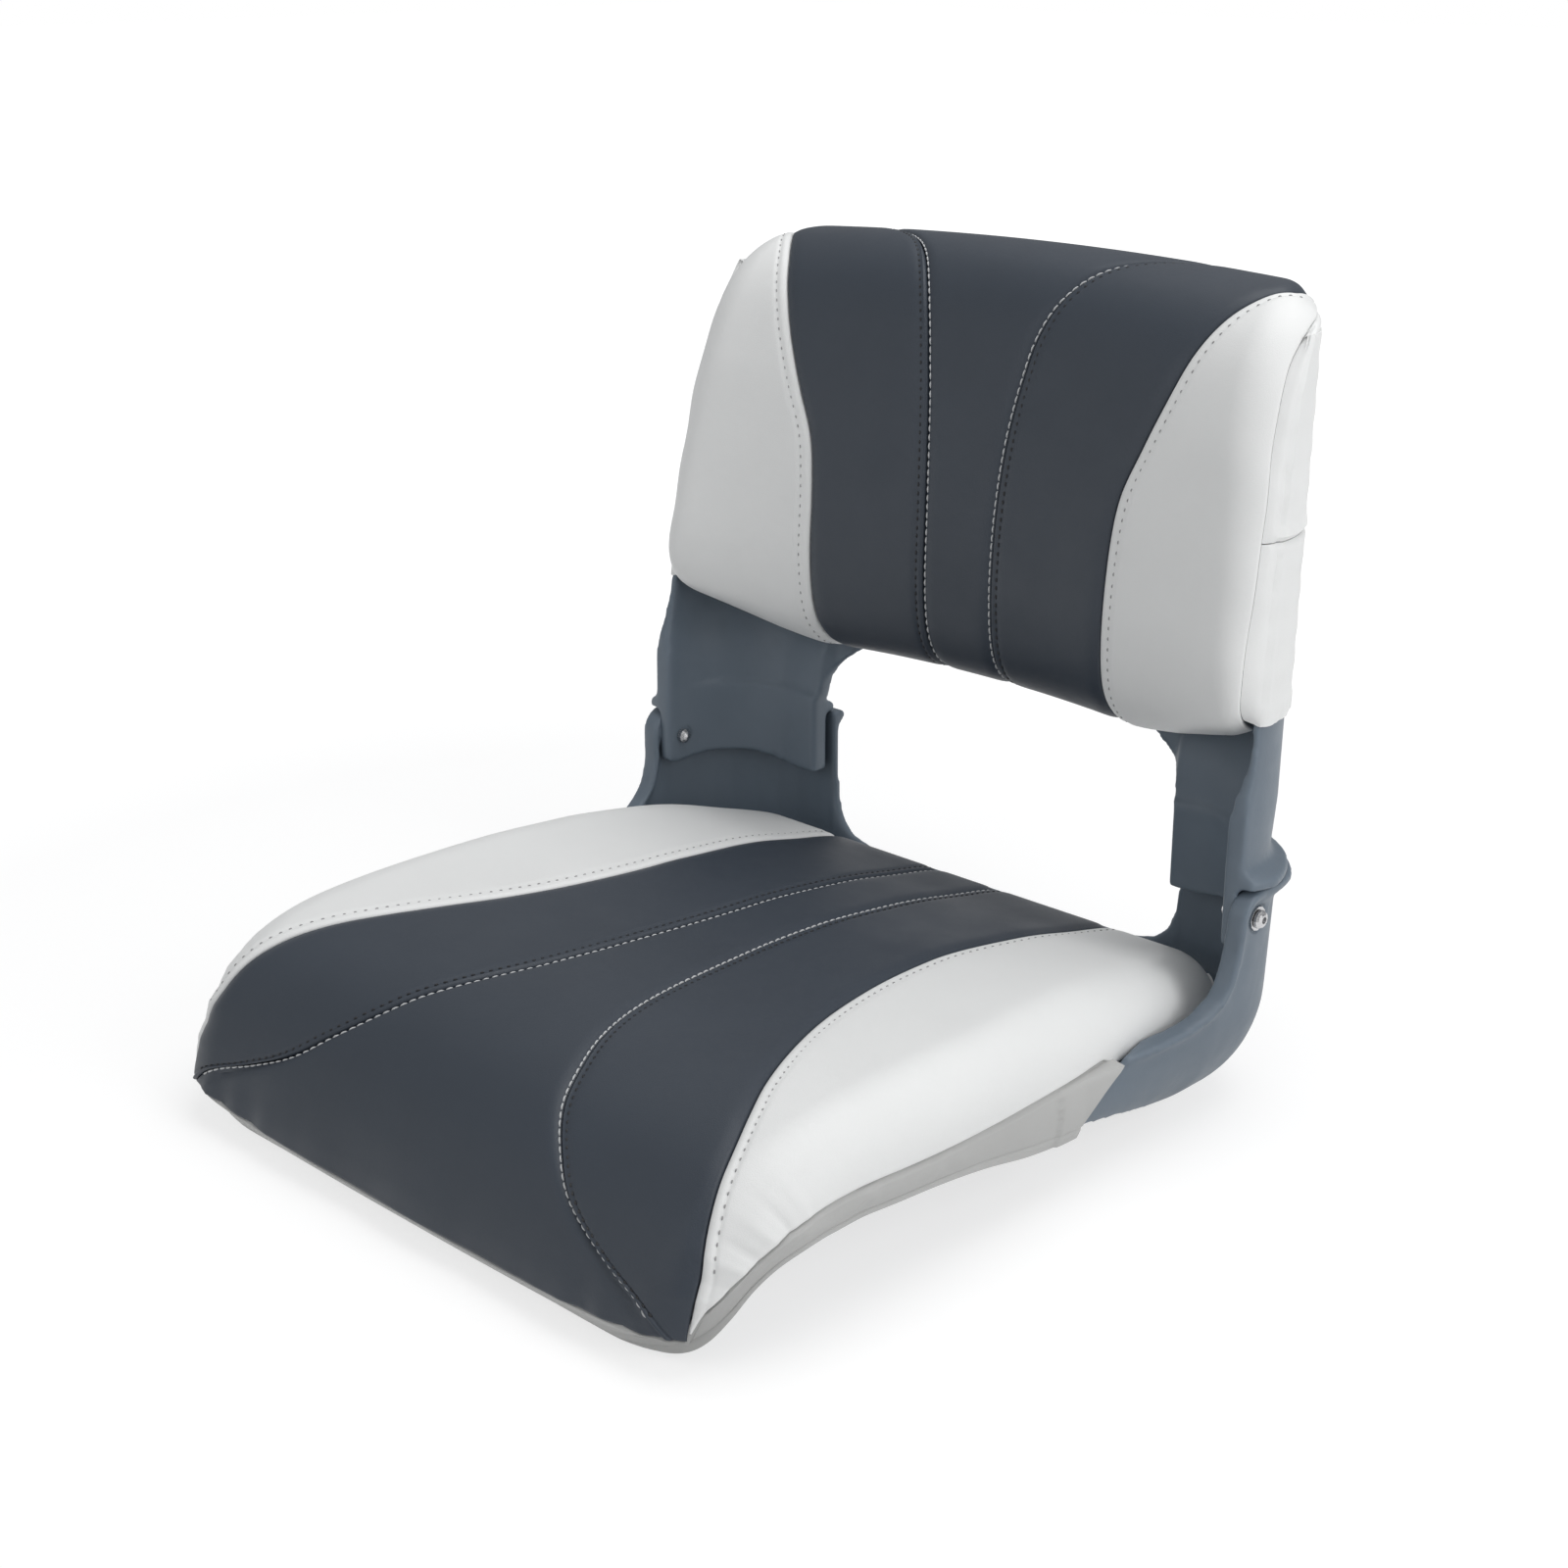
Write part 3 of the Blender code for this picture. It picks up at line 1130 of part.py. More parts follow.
def tail(side):
    """The lower end of an arm, which stands inside the upright and takes the pivot."""
    stations = [("bend", share) for share in np.linspace(0, 1, 8)] + [("rear", ARM_END_X + CLEARANCE)]
    shares = np.linspace(0, 1, len(stations))
    outer, inner = [], []
    for up in (0.0, 0.5, 1.0):
        out_row, in_row = [], []
        for (kind, value), share in zip(stations, shares):
            low = TAIL_BOTTOM_Z + TAIL_ARCH * math.sin(math.pi * share)
            z = low + up * (TAIL_TOP_Z - low)
            place, out = plan_point(kind, value, TAIL_HALF_WIDTH, TAIL_REAR_Y, TAIL_RADIUS, ARM_FRONT_Y)
            out_row.append((side * place[0], place[1], z))
            place = place - out * SHELL_WALL
            in_row.append((side * place[0], place[1], z))
        outer.append(out_row)
        inner.append(in_row)
    return two_sided(f"tail_{side}", outer, inner, None)


def arm_flange(side, name, half_at, low, high, count):
    """The broad front edge of an arm, turned in towards the middle."""
    sections = []
    for z in np.linspace(low, high, count):
        half = half_at(z) - SHELL_WALL / 3
        front = shell_size(z)[2] - FLANGE_PROUD
        taper = 1.0 if z < high else 0.75
        width, chamfer = FLANGE_WIDTH * taper, FLANGE_DEPTH / 5
        corners = (
            (half, front), (half, front + FLANGE_DEPTH), (half - width + chamfer, front + FLANGE_DEPTH),
            (half - width, front + FLANGE_DEPTH - chamfer), (half - width, front + chamfer),
            (half - width + chamfer, front),
        )
        sections.append([(side * x, y, z) for x, y in corners])
    return swept(f"{name}_{side}", sections, None)


def foot(side):
    """The shelf round the foot of an arm, which rests on the upright's lip."""
    z = UPRIGHT_TOP_Z + LIP_GAP
    half, rear, front = shell_size(z)
    places = []
    stations = [("bend", share) for share in (0.01, 0.06, 0.16, 0.28, 0.4, 0.5, 0.6, 0.7, 0.8, 0.9, 1.0)]
    stations += [("rear", ARM_END_X + CLEARANCE)]
    for i, (kind, value) in enumerate(stations):
        place, out = plan_point(kind, value, half, rear, ARM_RADIUS, front)
        back = i / (len(stations) - 1)
        proud = FOOT_PROUD + (FOOT_REAR_PROUD - FOOT_PROUD) * back
        places.append((place, out, proud * min(1.0, 0.45 + 0.25 * i)))
    deep, chamfer = FOOT_DEPTH, FOOT_DEPTH / 6
    tuck = ARM_LEDGE * 0.75
    corners = (
        (0, tuck, 0.0), (1, chamfer, 0.0), (1, 0.0, chamfer), (1, 0.0, deep - chamfer), (1, chamfer, deep),
        (0.45, 0.0, deep + FOOT_FILLET * 0.10), (0.12, 0.0, deep + FOOT_FILLET * 0.45),
        (0, CLEARANCE, deep + FOOT_FILLET), (0, tuck, deep + FOOT_FILLET),
    )
    return collar(f"foot_{side}", side, places, z, corners)


def back_shell():
    shell = back_shell_strip()
    for side in (1, -1):
        boolean(shell, tail(side), "UNION")
        boolean(shell, foot(side), "UNION")
        low = UPRIGHT_TOP_Z + LIP_GAP + FOOT_DEPTH
        upper = arm_flange(side, "flange", lambda z: shell_size(z)[0], low, FLANGE_TOP_Z, 5)
        boolean(shell, upper, "UNION")
        low = TAIL_BOTTOM_Z + CLEARANCE
        lower = arm_flange(side, "tail_flange", lambda z: TAIL_HALF_WIDTH, low, TAIL_TOP_Z - CLEARANCE, 3)
        boolean(shell, lower, "UNION")
        bore = SCREW_RADIUS + BUSH_WALL + 2 * CLEARANCE
        inner_x, outer_x = TAIL_HALF_WIDTH - SHELL_WALL - OVERRUN, TAIL_HALF_WIDTH + OVERRUN / 2
        cut = ((inner_x, 0), (inner_x, bore), (outer_x, bore), (outer_x, 0))
        cutter = turned(f"bush_cut_{side}", cut, (0, PIVOT_Y, PIVOT_Z), (side, 0, 0), None, 16)
        boolean(shell, cutter, "DIFFERENCE")
    return shell


def shell_y(x, z, off):
    """Y of the back shell's rear face at a place, with a stand-off."""
    half, rear, front = shell_size(z)
    beside = max(0.0, abs(x) - (half - ARM_RADIUS))
    radius = ARM_RADIUS + off
    return max(front, rear - ARM_RADIUS + math.sqrt(max(0.0, radius**2 - beside**2)))


def back_foam(cushion, along):
    """The back's foam, from the shell's inner face to just under the cover and over its top."""
    narrowing = ((0.05, 0.35, 0.8, 1.0), (FOAM_TOP_SHARE, 1.0, 1.0, FOAM_LOW_SHARE))
    upper = foam_face(cushion, along, cushion.reach, narrowing)
    lower = upper.copy()
    over = 3
    low = SHELL_BOTTOM_Z + 2 * OVERRUN
    for i, j in np.ndindex(upper.shape[:2]):
        x = upper[i, j, 0] * 0.97
        off = -(SHELL_WALL + 2 * CLEARANCE) * min(1.0, i / over)
        z = SHELL_TOP_Z + CLEARANCE
        if i > over:
            z += (i - over) / (len(along) - 1 - over) * (low - z)
        lower[i, j] = (x, shell_y(x, min(z, SHELL_TOP_Z), off), z)
    return two_sided("back_foam", upper, lower, FOAM)


def back_rear_panel(cushion):
    """The cover's panel on the rear of the shell, from the top edge to its riveted hem."""
    shares = np.linspace(-1, 1, 5)
    outer, inner = [], []
    half = REAR_PANEL_HALF_WIDTH - SEAM_GAP / 2
    top = cushion.layer(lambda _: shares * half, [0.0], 0.0)[0] + (0, SEAM_GAP, 0)
    under = cushion.layer(lambda _: shares * half, [0.0], VINYL)[0] + (0, SEAM_GAP, 0)
    outer.append(top)
    inner.append(under)
    for z in np.linspace(SHELL_TOP_Z, BOXING_BOTTOM_Z, 6):
        near = 2 * CLEARANCE
        xs = shares * half
        outer.append([(x, shell_y(x, z, near + VINYL), z) for x in xs])
        inner.append([(x, shell_y(x, z, near), z) for x in xs])
    made = two_sided("back_rear_panel", outer, inner, CHARCOAL)
    z = BOXING_BOTTOM_Z + RIVET_HEAD_RADIUS * 1.6
    y = shell_size(z)[1] + 2 * CLEARANCE + VINYL
    places = rivet_places(2 * REAR_PANEL_HALF_WIDTH, y, z)
    return made, places


def spread_along(points, shares):
    """Where these shares of a line's length fall, as positions in its list of points."""
    steps = np.linalg.norm(np.diff(np.asarray(points)[:, :2], axis=0), axis=1)
    length = np.concatenate([[0], np.cumsum(steps)])
    return np.interp(np.asarray(shares) * length[-1], length, np.arange(len(points)))


def back_boxing(cushion, side, name):
    """The white boxing from the cushion's side seam round the shell's edge to the rear panel, in
    an upper and a lower piece."""
    near = 2 * CLEARANCE
    samples = np.linspace(0, 1, 401)
    corner = BACK_CORNER_SHARE

    def seam_at(z):
        return next(v for v in samples if v > corner and cushion.point(cushion.reach(v), v)[2] < z)

    def edge(s, v, depth):
        point = cushion.layer(lambda _: [s], [v], depth)[0, 0]
        return point + np.array([0.0, SEAM_GAP, -SEAM_GAP]) * 6

    def at(station, z, off, forward=0.0):
        half, rear, front = shell_size(z)
        place, out = plan_point(*station, half, rear, ARM_RADIUS, front)
        return np.array([*(place + out * off), z]) - (0, forward, 0)

    inner_s = REAR_PANEL_HALF_WIDTH + SEAM_GAP / 2
    rim = [(cushion.reach(v), v) for v in np.linspace(corner, 0.0, 24)]
    rim += [(inner_s + share * (cushion.reach(0) - inner_s), 0.0) for share in np.linspace(1, 0, 12)[1:]]
    stations = [("bend", 0.0)] + [row for row in SHELL_STATIONS if row[0] == "bend"] + [("rear", inner_s)]
    first_z = min(edge(s, v, 0.0)[2] for s, v in rim) - 2 * OVERRUN
    ring = [at(station, first_z, near) for station in stations]
    steps = np.linalg.norm(np.diff(np.array(ring)[:, :2], axis=0), axis=1)
    shares = np.concatenate([[0], np.cumsum(steps)]) / steps.sum()
    shares[1] = shares[2] / 2
    picks = spread_along([edge(s, v, 0.0) for s, v in rim], shares)
    tops = [tuple(np.array([np.interp(p, range(len(rim)), column) for column in zip(*rim)])) for p in picks]
    pieces = []
    for title, rows in (
        ("upper", [None, *np.linspace(first_z, BOXING_SEAM_Z + SEAM_GAP / 2, 5)]),
        ("lower", np.linspace(BOXING_SEAM_Z - SEAM_GAP / 2, BOXING_BOTTOM_Z, 5)),
    ):
        grids = []
        for depth, off in ((0.0, near + VINYL), (VINYL, near)):
            grid = []
            for z in rows:
                if z is None:
                    grid.append([edge(s, v, depth) for s, v in tops])
                    continue
                v = seam_at(z)
                row = [edge(cushion.reach(v), v, depth), at(stations[1], z, off, OVERRUN / 2)]
                grid.append(row + [at(station, z, off) for station in stations[2:]])
            grids.append([[(side * p[0], p[1], p[2]) for p in row] for row in grid])
        pieces.append(two_sided(f"back_boxing_{title}_{name}", *grids, WHITE))
    return pieces


def pivot_hardware(side, name):
    """Screw, washer, bush and cap nut of one pivot, from the outside in."""
    centre, axis = (0, PIVOT_Y, PIVOT_Z), (side, 0, 0)
    spot = pan_half_width(PIVOT_Y, PIVOT_Z) - PAN_WALL / 3
    washer_low = spot + CLEARANCE
    washer_top = washer_low + WASHER_THICKNESS
    bore = SCREW_RADIUS + CLEARANCE
    washer = turned(f"pivot_washer_{name}", (
        (washer_low, bore), (washer_low, WASHER_RADIUS), (washer_top, WASHER_RADIUS), (washer_top, bore),
    ), centre, axis, STEEL, 12)
    head = washer_top + CLEARANCE
    top = head + SCREW_HEAD_HEIGHT
    nut_face = TAIL_HALF_WIDTH - SHELL_WALL - CLEARANCE
    end = nut_face - NUT_HEIGHT / 2
    screw = turned(f"pivot_screw_{name}", (
        (end, 0), (end, SCREW_RADIUS), (head, SCREW_RADIUS), (head, SCREW_HEAD_RADIUS),
        (head + SCREW_HEAD_HEIGHT * 0.40, SCREW_HEAD_RADIUS),
        (head + SCREW_HEAD_HEIGHT * 0.80, SCREW_HEAD_RADIUS * 0.82), (top, SCREW_HEAD_RADIUS * 0.55),
        (top, SCREW_SOCKET_RADIUS), (top - SCREW_SOCKET_DEPTH, SCREW_SOCKET_RADIUS),
        (top - SCREW_SOCKET_DEPTH, 0),
    ), centre, axis, STEEL, 12)
    outer = bore + BUSH_WALL
    low, face = TAIL_HALF_WIDTH - SHELL_WALL, TAIL_HALF_WIDTH + CLEARANCE
    bush = turned(f"pivot_bush_{name}", (
        (low, bore), (low, outer), (face, outer), (face, BUSH_FLANGE_RADIUS),
        (face + BUSH_FLANGE, BUSH_FLANGE_RADIUS), (face + BUSH_FLANGE, bore),
    ), centre, axis, NYLON, 12)
    nut_end = nut_face - NUT_HEIGHT
    deep = end - CLEARANCE
    nut = turned(f"pivot_nut_{name}", (
        (deep, 0), (deep, bore), (nut_face, bore), (nut_face, NUT_RADIUS),
        (nut_face - NUT_HEIGHT * 0.6, NUT_RADIUS), (nut_end + NUT_HEIGHT * 0.1, NUT_RADIUS * 0.65),
        (nut_end, 0),
    ), centre, axis, STEEL, 12)
    return washer, screw, bush, nut


def insert(x, y, name):
    """A threaded insert in a boss, open below."""
    deep = INSERT_LENGTH
    return turned(f"mount_insert_{name}", (
        (0, INSERT_BORE_RADIUS), (0, INSERT_FLANGE_RADIUS), (INSERT_FLANGE, INSERT_FLANGE_RADIUS),
        (INSERT_FLANGE, INSERT_RADIUS), (deep, INSERT_RADIUS), (deep, INSERT_BORE_RADIUS),
    ), (x, y, INSERT_FLANGE / 8), (0, 0, 1), BRASS, 14)


def build():
    clear_scene()
    seat = seat_cushion()
    back = back_cushion()

    rows = np.linspace(0, 1, COVER_ROWS)
    pan = seat_pan()
    seat_foam(seat, rows)

    white_rows = [*rows[rows < WHITE_END_SHARE], WHITE_END_SHARE]
    cover_face(seat, "seat", rows, white_rows, lambda v: seat_edge(seat, v))
    seat_boxing(seat)
    _, places, up = seat_rear_flap()
    rivet_cuts(pan, places, up)
    for side, across in ((1, "left"), (-1, "right")):
        for end, along in ((1, "rear"), (-1, "front")):
            insert(side * INSERT_PITCH / 2, INSERT_CENTRE_Y + end * INSERT_PITCH / 2, f"{along}_{across}")

    shell = back_shell()
    moving = [shell, back_foam(back, rows)]
    moving += cover_face(back, "back", rows, rows, back.reach)
    rear, places = back_rear_panel(back)
    out = np.array([0.0, 1.0, -ARM_LEAN]) / math.hypot(1.0, ARM_LEAN)
    rivet_cuts(rear, places, out)
    rivet_cuts(shell, places, out)
    moving += [rear] + rivets("back", places, out)
    for side, name in ((1, "left"), (-1, "right")):
        moving += back_boxing(back, side, name)
        _, _, bush, nut = pivot_hardware(side, name)
        moving += [bush, nut]
    hold_on_pivot(moving)


build()
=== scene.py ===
import json
import math

import bmesh
import bpy
import numpy as np
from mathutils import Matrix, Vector


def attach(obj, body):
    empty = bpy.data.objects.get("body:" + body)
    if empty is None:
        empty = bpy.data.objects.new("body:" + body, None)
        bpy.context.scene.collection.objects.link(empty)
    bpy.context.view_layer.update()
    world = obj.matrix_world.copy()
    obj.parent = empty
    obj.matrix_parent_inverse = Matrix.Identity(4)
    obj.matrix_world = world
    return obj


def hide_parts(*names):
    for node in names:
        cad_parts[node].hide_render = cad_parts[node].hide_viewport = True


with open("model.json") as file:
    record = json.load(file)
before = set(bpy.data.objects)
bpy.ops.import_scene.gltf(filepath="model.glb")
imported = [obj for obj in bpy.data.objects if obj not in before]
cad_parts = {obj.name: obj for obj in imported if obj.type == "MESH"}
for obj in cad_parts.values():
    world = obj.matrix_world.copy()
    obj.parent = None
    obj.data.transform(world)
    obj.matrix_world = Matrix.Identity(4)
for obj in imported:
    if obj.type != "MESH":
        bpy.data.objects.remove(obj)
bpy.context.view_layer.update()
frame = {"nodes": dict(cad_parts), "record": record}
NODES = frame["nodes"]

# Sizes of the part, in metres, as the solids have them
PIVOT_Y, PIVOT_Z = 0.149, 0.118
UPRIGHT_TOP_Z = 0.1355
PAN_FRONT_Y, PAN_REAR_Y = -0.2420, 0.216
PAN_HALF_WIDTH, PAN_REAR_HALF_WIDTH = 0.2125, 0.2265
PAN_FRONT_RADIUS, PAN_REAR_RADIUS = 0.070, 0.075
DECK_REAR_Z, DECK_CREST_Z, DECK_FRONT_Z, DECK_CREST_Y = 0.046, 0.062, 0.038, -0.120
UPRIGHT_SPREAD, PAN_WIDENING_Y = 0.004, (0.020, 0.120)
SEAT_REAR_Y, SEAT_DEPTH, SEAT_TOP_Z, SEAT_HALF_WIDTH = 0.190, 0.4435, 0.097, 0.2175
SEAT_EDGE_RADIUS, SEAT_SIDE_RISE = 0.034, 0.011
BACK_BOTTOM_Z, BACK_HEIGHT, BACK_FRONT_Y, BACK_DEPTH = 0.193, 0.252, 0.166, 0.082
BACK_HALF_WIDTH, BACK_EDGE_RADIUS, BACK_SIDE_LEAD = 0.217, 0.030, 0.0330
BACK_EDGE_ROLL = math.radians(55)
SHELL_WALL, SHELL_BOTTOM_Z, SHELL_TOP_Z = 0.0045, 0.188, 0.427
ARM_HALF_WIDTH, ARM_REAR_Y, ARM_RADIUS, ARM_FRONT_Y = 0.2255, 0.2085, 0.065, 0.137
ARM_END_X, ARM_LEAN, ARM_TOP_NARROWING, ARM_LEDGE = 0.1385, 0.142, 0.019, 0.0120
REAR_PANEL_HALF_WIDTH = 0.125
BOXING_BOTTOM_Z, BOXING_SEAM_Z, BACK_CORNER_SHARE = 0.2235, 0.318, 0.19
BOXING_END_Y, BOXING_END_LEAN = 0.050, 0.030
CLEARANCE, VINYL, SEAM_GAP = 0.0004, 0.0016, 0.0005
CHANNEL_DEPTH, CHANNEL_WIDTH = 0.0016, 0.0050
SEAT_CORNER_SHARE, WHITE_END_SHARE = 0.022, 0.988
FLOOR_HALF, FLOOR_DROP = 12.0, 0.0006
LIFT_START_X, LIFT_RUN, LIFT_TOP_Z, LIFT_DEPTH, CORNER_LIFT = 0.118, 0.098, 0.272, 0.078, 0.024
SKIRT, SKIRT_LEAD, SKIRT_RUN = 0.012, 0.008, 0.020

SEAT_SECTION_SHARES = (
    (0, 0.535, 0.900, 1.28, 0), (0.0045, 0.640, 0.900, 1.28, 0), (0.027, 0.711, 0.915, 1.24, 0.1),
    (0.104, 0.784, 0.945, 1.10, 0.4), (0.198, 0.866, 0.958, 1.00, 0.8), (0.325, 0.938, 0.972, 1.00, 1),
    (0.400, 0.960, 0.986, 1.00, 1), (0.510, 0.979, 1.000, 1.00, 1), (0.690, 1.000, 1.000, 1.00, 0.8),
    (0.803, 0.979, 1.000, 1.00, 0.5), (0.8816, 0.887, 1.000, 1.10, 0.2), (0.938, 0.711, 1.000, 1.25, 0),
    (0.972, 0.505, 1.000, 1.40, 0), (0.992, 0.299, 0.990, 1.45, 0), (1.000, 0.155, 0.975, 1.45, 0),
)
BACK_SECTION_SHARES = (
    (1.070, 0.976, 0.800, 0.80, -0.20), (0.860, 1.000, 0.848, 0.85, -0.20),
    (0.565, 0.980, 0.905, 0.95, -0.10), (0.348, 0.917, 0.930, 1.00, 0.15), (0.213, 0.825, 0.940, 1.00, 0.43),
    (0.122, 0.687, 0.958, 1.00, 0.65), (0.055, 0.548, 0.975, 0.90, 0.70), (0.012, 0.389, 0.984, 0.80, 0.81),
    (0.000, 0.230, 0.990, 0.65, 0.97), (0.043, 0.111, 0.985, 0.50, 0.95), (0.152, 0.040, 0.955, 0.45, 0.62),
    (0.323, 0.006, 0.870, 0.45, 0.35),
    (0.490, 0.004, 0.780, 0.45, 0.20),
)
SEAT_BORDER_SHARES = (
    (0.00, 0.500), (0.21, 0.488), (0.32, 0.475), (0.41, 0.484), (0.49, 0.512), (0.56, 0.553), (0.63, 0.613),
    (0.70, 0.687), (0.75, 0.750), (0.79, 0.797), (0.83, 0.834), (0.87, 0.865), (0.93, 0.900), (1.00, 0.905),
)
SEAT_CENTRE_SHARES = (
    (0.00, 0.112), (0.22, 0.111), (0.34, 0.111), (0.43, 0.116), (0.52, 0.134), (0.60, 0.155), (0.67, 0.186),
    (0.73, 0.232), (0.78, 0.286), (0.83, 0.345), (0.87, 0.420), (0.91, 0.515), (0.94, 0.640), (0.97, 0.780),
    (1.00, 0.860),
)
SEAT_LOWER_SEAM_SHARES = (
    (0.00, 1.020), (0.20, 1.040), (0.298, 1.066), (0.372, 1.092), (0.471, 1.112), (0.543, 1.116),
    (0.629, 1.108), (0.721, 1.079), (0.765, 1.062), (0.824, 1.036), (0.882, 1.002), (0.931, 0.966),
    (0.970, 0.925), (1.00, 0.905),
)
BACK_BORDER_SHARES = (
    (0.00, 0.800), (0.06, 0.830), (0.11, 0.830), (0.16, 0.785), (0.21, 0.735), (0.28, 0.680), (0.36, 0.630),
    (0.44, 0.580), (0.52, 0.530), (0.60, 0.512), (0.75, 0.506), (1.00, 0.500),
)
BACK_CENTRE_SHARES = (
    (0.00, 0.640), (0.05, 0.530), (0.10, 0.390), (0.15, 0.300), (0.21, 0.235), (0.28, 0.190), (0.36, 0.162),
    (0.45, 0.140), (0.55, 0.126), (0.66, 0.119), (0.80, 0.118), (1.00, 0.115),
)
BOXING_HEM_SHARES = (
    (-0.01, 0.015), (0.008, 0.025), (0.022, 0.060), (0.037, 0.130), (0.054, 0.250), (0.072, 0.380),
    (0.092, 0.470), (0.120, 0.530), (0.160, 0.560), (0.200, 0.560), (0.262, 0.535), (0.330, 0.505),
    (0.400, 0.460), (0.480, 0.385), (0.560, 0.325), (0.640, 0.290),
)
SHELL_FRONT_SHARES = (
    (0.000, 0.000), (0.170, 0.024), (0.205, 0.062), (0.445, 0.170), (0.680, 0.290), (0.880, 0.425),
    (1.000, 0.590),
)
RIM_SHARES = (
    (0.00, 0.000), (0.26, 0.025), (0.52, 0.066), (0.71, 0.140), (0.85, 0.265),
    (0.930, 0.405), (0.966, 0.550), (0.996, 0.720), (1.000, 1.000),
)
PAN_ARCH_SHARES = (
    (0.000, 0.97), (0.060, 0.99), (0.115, 1.00), (0.156, 0.99), (0.232, 0.95), (0.326, 0.88),
    (0.416, 0.78), (0.507, 0.65), (0.609, 0.50), (0.694, 0.31), (0.764, 0.12), (0.812, 0.00),
)
UPRIGHT_END_SHARES = (
    (0.000, 1.00), (0.010, 0.48), (0.022, 0.30), (0.055, 0.16), (0.115, 0.06), (0.200, 0.02), (0.280, 0.0),
)
ARM_END_SHARES = ((0.00, 0.00), (0.012, 0.38), (0.030, 0.52), (0.080, 0.69), (0.155, 0.85), (0.250, 1.00))
ARCH_HEIGHT, PAN_WALL, PAN_UNDER_FRONT, PAN_UNDER_REAR = 0.053, 0.0045, 0.010, 0.065
STOP_RADIUS, RIM_TIP_Y, RIM_TIP_Z = 0.0175, 0.054, 0.0655
RIM_WIDTH, RIM_DEPTH, RIM_PROUD = 0.012, 0.0045, 0.0022
LIP_PROUD, LIP_REAR_PROUD, LIP_DEPTH, LIP_ROUND, UPRIGHT_END_X = 0.0092, 0.0062, 0.0066, 0.0012, 0.1365
ARM_INNER_X, ARM_THICK_Z, ARM_THIN_Z = 0.2135, 0.168, 0.212
TAIL_HALF_WIDTH, TAIL_REAR_Y, TAIL_RADIUS, TAIL_TOP_Z = 0.218, 0.2075, 0.0575, 0.150
TAIL_LOW_Z, TAIL_BEND, TAIL_CORNER, TAIL_EDGE = 0.0975, 0.0065, 0.006, 0.005
FOOT_PROUD, FOOT_REAR_PROUD, FOOT_DEPTH, FOOT_FILLET, LIP_GAP = 0.0125, 0.0085, 0.0062, 0.008, 0.0004
SHELL_TOP_DROP, PAN_WALL_START_Y, FOOT_ROUND = 0.036, -0.100, 0.0010
SCREW_POCKET_RADIUS, SCREW_POCKET_DEPTH = 0.0084, 0.020
NUT_POCKET_RADIUS, NUT_POCKET_X = 0.0068, (0.2125, 0.200)
PLASTIC_VOXEL, FLAP_VOXEL, PAD_VOXEL = 0.0018, 0.0007, 0.006
PAD_SHRINK, PAD_CAP, PAD_PRESSURE, PAD_FRAMES = 0.004, 0.005, 4.0, 20

HANDS = ((1, "left"), (-1, "right"))

# Sewing
STITCH_PITCH, STITCH_LENGTH, THREAD_RADIUS = 0.0050, 0.0038, 0.00042
WHITE_OFFSET, DARK_OFFSET, TOPSTITCH_OFFSET = 0.0014, 0.0046, 0.0070
EDGE_ROLL, TOPSTITCH_ROOM = 0.0016, 0.004
# Relief beside a seam: which seam, how far outside it, how high and how wide
SEWN_LINES = (
    ("centre", -WHITE_OFFSET, -0.0007, 0.0010), ("centre", DARK_OFFSET, -0.0007, 0.0011),
    ("centre", DARK_OFFSET / 2, 0.0008, 0.0020), ("border", TOPSTITCH_OFFSET, -0.0006, 0.0014),
    ("border", TOPSTITCH_OFFSET / 2, 0.0005, 0.0022),
)
# Gathers: a place along the section, as a share, or across it, a width and a height as a share
FLANK_GATHER, FLANK_GATHER_REACH = 0.0011, 0.022
FLANK_GATHERS = ((0.795, 0.007, 0.5), (0.825, 0.006, -0.8), (0.850, 0.008, 0.9), (0.878, 0.006, -1.0),
                 (0.902, 0.007, 1.0), (0.925, 0.006, -0.8), (0.948, 0.006, 0.6))
FRONT_GATHER, FRONT_GATHER_SHIFT = 0.0013, 0.004
FRONT_GATHERS = ((0.118, 0.005, 0.6), (0.132, 0.004, -0.9), (0.146, 0.005, 1.0), (0.160, 0.004, -1.0),
                 (0.173, 0.004, 0.8), (0.090, 0.006, -0.5))
FRONT_WAVE, BACK_WAVE, BACK_WAVE_X, BACK_WAVE_REACH = 0.0009, 0.0006, 0.225, 0.02
BACK_GATHER = 0.0010
BACK_GATHERS = ((0.150, 0.006, 0.7), (0.166, 0.005, -0.9), (0.182, 0.006, 0.9), (0.198, 0.005, -0.8))

# Boxing strips and hems
BOXING_TUCK, BOXING_TUCK_RISE, BOXING_TOP_DIP, BOXING_PUFF = 0.0024, 0.0008, 0.0010, 0.0011
BOXING_HEM_DIP, BOXING_HEM_LINE_SHARE, DECK_ROOM = 0.0006, 0.82, 0.008
BOXING_GATHERS, BOXING_GATHER_START, BOXING_GATHER_REACH = 26, 0.12, 0.085
CORNER_GATHER_Y, CORNER_GATHER_X = 0.175, 0.07
